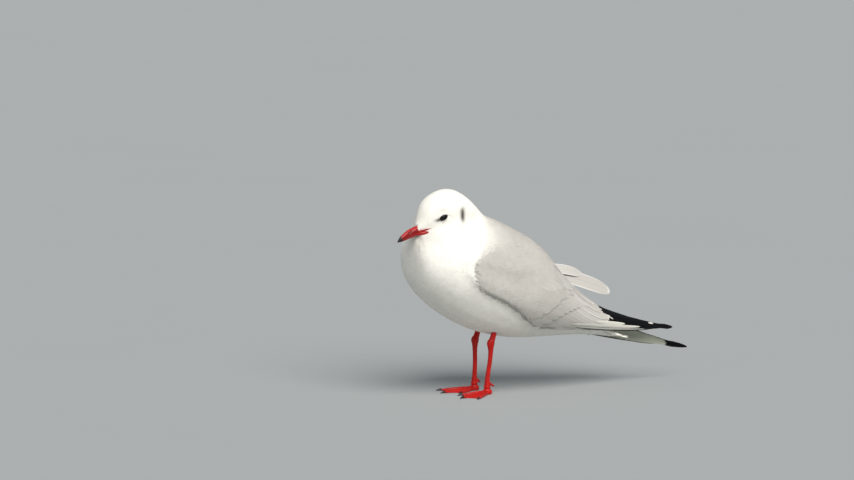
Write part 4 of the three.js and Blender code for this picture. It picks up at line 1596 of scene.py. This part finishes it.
class GULL_OT_bill(bpy.types.Operator):
    """Both halves of the bill with the nostrils, and the corners of the gape"""

    bl_idname = "gull.bill"
    bl_label = "Bill"

    def execute(self, context):
        self.half("bill_upper", 0.75, 1.0)
        self.half("bill_lower", 0.25, 0.0)
        self.corners()
        return {"FINISHED"}

    def half(self, node, pale_tone_and_lit_top, nostril):
        piece = fused(node + "_horn", (node,), 0.05 * MM, 0.38 * MM, 5)
        mesh = piece.data
        points, normals = vertices_of(mesh), normals_of(mesh)
        ahead, left, up = HEAD.local(points).T
        lean = up + 6.0 * MM + 0.25 * (ahead - 35.5 * MM)
        nostril_dent_and_shade = nostril * np.exp(-(((ahead - 35.5 * MM) / (2.8 * MM)) ** 4) - (lean / (0.75 * MM)) ** 2)
        nostril_dent_and_shade *= ramp(0.2, 0.6, np.abs(normals @ np.array(HEAD.across)))
        past = past_feathers(points)[0]
        outward = unit(HEAD.local(points + normals) - HEAD.local(points))
        facing = outward[:, 2] if nostril else -outward[:, 2]
        swell = 0.35 * MM * (1 - ramp(0, 9 * MM, past)) * ramp(-0.3, 0.3, facing)
        swell -= 1.9 * MM * (1 - ramp(-2.0 * MM, 1.1 * MM, past))
        set_points(mesh, points + normals * (swell - 0.7 * MM * nostril_dent_and_shade)[:, None])
        end = ramp(HEAD.tip_ahead - 8 * MM, HEAD.tip_ahead - 4 * MM, ahead)
        # The nostril's slit takes the tip's near-black as painted shade in its hollow, beside the bill's real
        # black end.
        mark(mesh, "tip", np.clip(end + 0.8 * nostril_dent_and_shade, 0, 1))
        # The upper half is paler where it faces up, a painted highlight; the lower half is paler all over as
        # tone.
        mark(mesh, "pale_tone_and_lit_top", pale_tone_and_lit_top * ramp(0.1, 0.9, normals @ np.array(HEAD.up)) if nostril else pale_tone_and_lit_top)
        turn = np.arctan2(left, up + 9 * MM)
        mark_uv(mesh, "OFBake", np.stack([0.1 + ahead * 14, 0.5 + turn / 6.6], 1)[corner_points(mesh)])
        finish(piece, bpy.data.materials["red_horn"], "bill_horn", (node,))

    def corners(self):
        """Bare red corners of the mouth: an upper and a lower lip on each cheek, meeting in one line."""
        pointed = [(0, 0.8, 1), (0.3, 0.95, 1), (0.55, 0.7, 0.8), (0.8, 0.38, 0.5), (1, 0.04, 0.2)]
        rounded = [
            (0, 0.8, 1), (0.4, 1, 1), (0.66, 0.95, 0.9), (0.83, 0.78, 0.7), (0.94, 0.5, 0.5), (1, 0.16, 0.2),
        ]
        thin, blunt = Form("lip", 8, pointed), Form("blunt", 8, rounded)
        lips = [(thin, (-8.9, -8.0), 13.4, 1.6), (blunt, (-10.9, -10.6), 18.6, 1.75)]
        cheeks = fused("cheeks", ("head",), 0.1 * MM, 1.0 * MM, 8)
        points, normals = vertices_of(cheeks.data), normals_of(cheeks.data)
        near = HEAD.local(points)[:, 0] > -5 * MM
        skin = Surface(points[near], normals[near])
        bpy.data.objects.remove(cheeks)
        for label, (form, heights, end, half) in zip(("upper", "lower"), lips):
            laid_out = []
            for sign in (-1, 1):
                out = HEAD.across * sign
                root = np.array([HEAD.at(27.5 * MM, sign * 2.4 * MM, heights[0] * MM)])
                tip, high = skin.drop(np.array([HEAD.at(end * MM, sign * 12 * MM, heights[1] * MM)]))
                low = np.array([out])
                bend = level_bend(root, tip, high)
                lay = form, root, bend, tip, low, high, np.array([half * MM]), np.array([0.65 * MM]), 0.8
                laid_out.append(laid(*lay))
            red = bpy.data.materials["red_horn"], "bill_horn"
            piece = loose_piece("gape_" + label, form, laid_out, 0.0, red)
            mark(piece.data, "pale_tone_and_lit_top", 0.5)
            mark(piece.data, "tip", 0.0)


class GULL_OT_eyes(bpy.types.Operator):
    """Wet dark eyes behind almond lids"""

    bl_idname = "gull.eyes"
    bl_label = "Eyes and lids"

    FACE = 4.4 * MM

    def execute(self, context):
        for side in SIDES:
            middle, out = eye_facing(side)
            self.ball(side, middle, out)
            self.lids(side, middle, out)
        return {"FINISHED"}

    def ball(self, side, middle, out):
        deselect()
        bpy.ops.mesh.primitive_uv_sphere_add(segments=64, ring_count=40, radius=EYE_BALL, location=middle)
        piece = bpy.context.object
        piece.rotation_mode = "QUATERNION"
        piece.rotation_quaternion = out.to_track_quat("Z", "Y")
        bpy.ops.object.transform_apply(location=True, rotation=True, scale=True)
        piece.name = "eyeball_" + side
        points = vertices_of(piece.data)
        away = (points - np.array(middle)) @ np.array(out)
        swell = ramp(0.75 * EYE_BALL, EYE_BALL, away)
        set_points(piece.data, points + np.array(out) * (0.2 * MM * swell)[:, None])
        mark(piece.data, "pupil", ramp(0.86 * EYE_BALL, 0.9 * EYE_BALL, away))
        piece.data.uv_layers[0].name = "OFBake"
        finish(piece, bpy.data.materials["eye_gloss"], "eye", ("eye_" + side,))

    def lids(self, side, middle, out):
        """A ring over the eyeball with an almond opening, running out under the feathers."""
        around, rings = 72, 10
        far = 6.9 * MM
        across = (HEAD.ahead - out * HEAD.ahead.dot(out)).normalized()
        above = (HEAD.up - out * HEAD.up.dot(out) - across * HEAD.up.dot(across)).normalized()
        points, rims, bake = [], [], []
        for ring in range(rings):
            share = ring / (rings - 1)
            for step in range(around):
                turn = math.tau * step / around
                long, high = almond(turn)
                edge = across * long + above * high
                flat = edge.lerp(edge.normalized() * far, share**1.3)
                beyond = (flat.length - edge.length) / MM
                rim = min(beyond / 0.25, 1) - min(max(beyond - 0.5, 0) / 0.6, 1)
                over = EYE_BALL + (0.12 + 0.45 * rim) * MM
                ball = math.sqrt(max(over**2 - flat.length**2, 0))
                height = ball + (self.FACE - 1.3 * MM - ball) * share**1.5
                if beyond > 0.3:
                    clear = (EYE_BALL + 0.25 * MM) ** 2 - flat.length**2
                    height = max(height, math.sqrt(max(clear, 0)))
                points.append(middle + flat + out * height)
                rims.append(1 - min(1, max(0, (beyond - 0.4) / 0.25)))
                spread = 0.2 + 0.28 * share
                bake.append((0.5 + spread * math.cos(turn), 0.5 + spread * math.sin(turn)))
        faces = []
        for ring in range(rings - 1):
            for step in range(around):
                a, b = ring * around + step, ring * around + (step + 1) % around
                faces.append((a, b, b + around, a + around))
        mesh = bpy.data.meshes.new("lids_" + side)
        mesh.from_pydata(points, [], faces)
        if mesh.polygons[0].normal.dot(out) < 0:
            mesh.flip_normals()
        piece = bpy.data.objects.new("lids_" + side, mesh)
        bpy.context.scene.collection.objects.link(piece)
        mark(mesh, "rim", np.array(rims))
        mark_uv(mesh, "OFBake", np.array(bake)[corner_points(mesh)])
        apply(piece, "SOLIDIFY", thickness=0.3 * MM, offset=-1)
        finish(piece, bpy.data.materials["lid_skin"], "white_feathers")


def almond(turn):
    """Half-length and half-height of the lids' opening this far round it, its front end lower."""
    long = LID_LONG * math.cos(turn)
    high = LID_HIGH * math.sin(turn) * (0.78 + 0.22 * abs(math.sin(turn)))
    return (
        long * math.cos(LID_TILT) - high * math.sin(LID_TILT),
        long * math.sin(LID_TILT) + high * math.cos(LID_TILT),
    )


class GULL_OT_legs(bpy.types.Operator):
    """Scaled red legs and webbed feet, with their claws"""

    bl_idname = "gull.legs"
    bl_label = "Legs and claws"

    def execute(self, context):
        for side in SIDES:
            nodes = ["shank_" + side, "tarsus_" + side, "foot_" + side, "hallux_" + side]
            leg = fused("leg_" + side, nodes, 0.22 * MM, 0.42 * MM, 4)
            points, normals = vertices_of(leg.data), normals_of(leg.data)
            low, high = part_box("tarsus_" + side)
            foot = inside("tarsus_" + side, 0.5, 0.5, 0)
            on_shaft = ramp(low.z + 1 * MM, low.z + 4 * MM, points[:, 2]) * ramp(0.1, 0.5, -normals[:, 0])
            scutes = np.abs(np.sin(points[:, 2] / (2.6 * MM) * math.pi)) ** 0.5
            away = np.hypot(points[:, 0] - foot.x, points[:, 1] - foot.y)
            rings = np.abs(np.sin(away / (2.2 * MM) * math.pi)) ** 0.5
            on_toe = (1 - ramp(low.z, low.z + 3 * MM, points[:, 2])) * ramp(0.2, 0.7, normals[:, 2])
            on_toe *= ramp(1.6 * MM, 2.4 * MM, points[:, 2])
            groove = on_shaft * (1 - scutes) + on_toe * (1 - rings)
            points = points - normals * (0.28 * MM * groove)[:, None]
            points[:, 2] = np.maximum(points[:, 2], 0)
            set_points(leg.data, points)
            # The grooves between the scales are marked for painted shade.
            mark(leg.data, "crease_shade", np.clip(groove * 1.3, 0, 0.8))
            turn = np.arctan2(points[:, 1] - foot.y, points[:, 0] - foot.x) / math.tau
            out = 0.05 + 0.3 * np.clip(away / (60 * MM), 0, 1) + 0.6 * points[:, 2] / high.z
            bake = np.stack([0.5 + turn * 0.9, out], 1)
            mark_uv(leg.data, "OFBake", bake[corner_points(leg.data)])
            finish(leg, bpy.data.materials["scaled_skin"], "leg_skin", nodes)
            claws = [f"claw_{side}_{toe}" for toe in ("inner", "middle", "outer")]
            pieces = [fused(claw + "_horn", (claw,), 0.02 * MM, 0.22 * MM, 3) for claw in claws]
            for piece, claw in zip(pieces, claws):
                finish(piece, bpy.data.materials["dark_horn"], "claw_horn", (claw,))
        return {"FINISHED"}


class GULL_PT_panel(bpy.types.Panel):
    """The gull's pieces, in the order they are made"""

    bl_idname = "GULL_PT_panel"
    bl_label = "Resting gull"
    bl_space_type = "VIEW_3D"
    bl_region_type = "UI"
    bl_category = "Gull"

    def draw(self, context):
        for step in STEPS:
            self.layout.operator(step.bl_idname)


GROUPS = {"gull_skin": GullSkin, "gull_coat": GullCoat, "gull_colours": GullColours, "gull_stage": GullStage}
STEPS = (
    GULL_OT_stage, GULL_OT_finishes, GULL_OT_coat, GULL_OT_flight, GULL_OT_bill, GULL_OT_eyes, GULL_OT_legs,
)


def register():
    for made in (*GROUPS.values(), *STEPS, GULL_PT_panel):
        bpy.utils.register_class(made)
    for name, made in GROUPS.items():
        setattr(bpy.types.Scene, name, PointerProperty(type=made))


def unregister():
    for name in GROUPS:
        delattr(bpy.types.Scene, name)
    for made in (GULL_PT_panel, *STEPS[::-1], *tuple(GROUPS.values())[::-1]):
        bpy.utils.unregister_class(made)


def main():
    register()
    for step in STEPS:
        folder, name = step.bl_idname.split(".")
        getattr(getattr(bpy.ops, folder), name)()


if __name__ == "__main__":
    main()
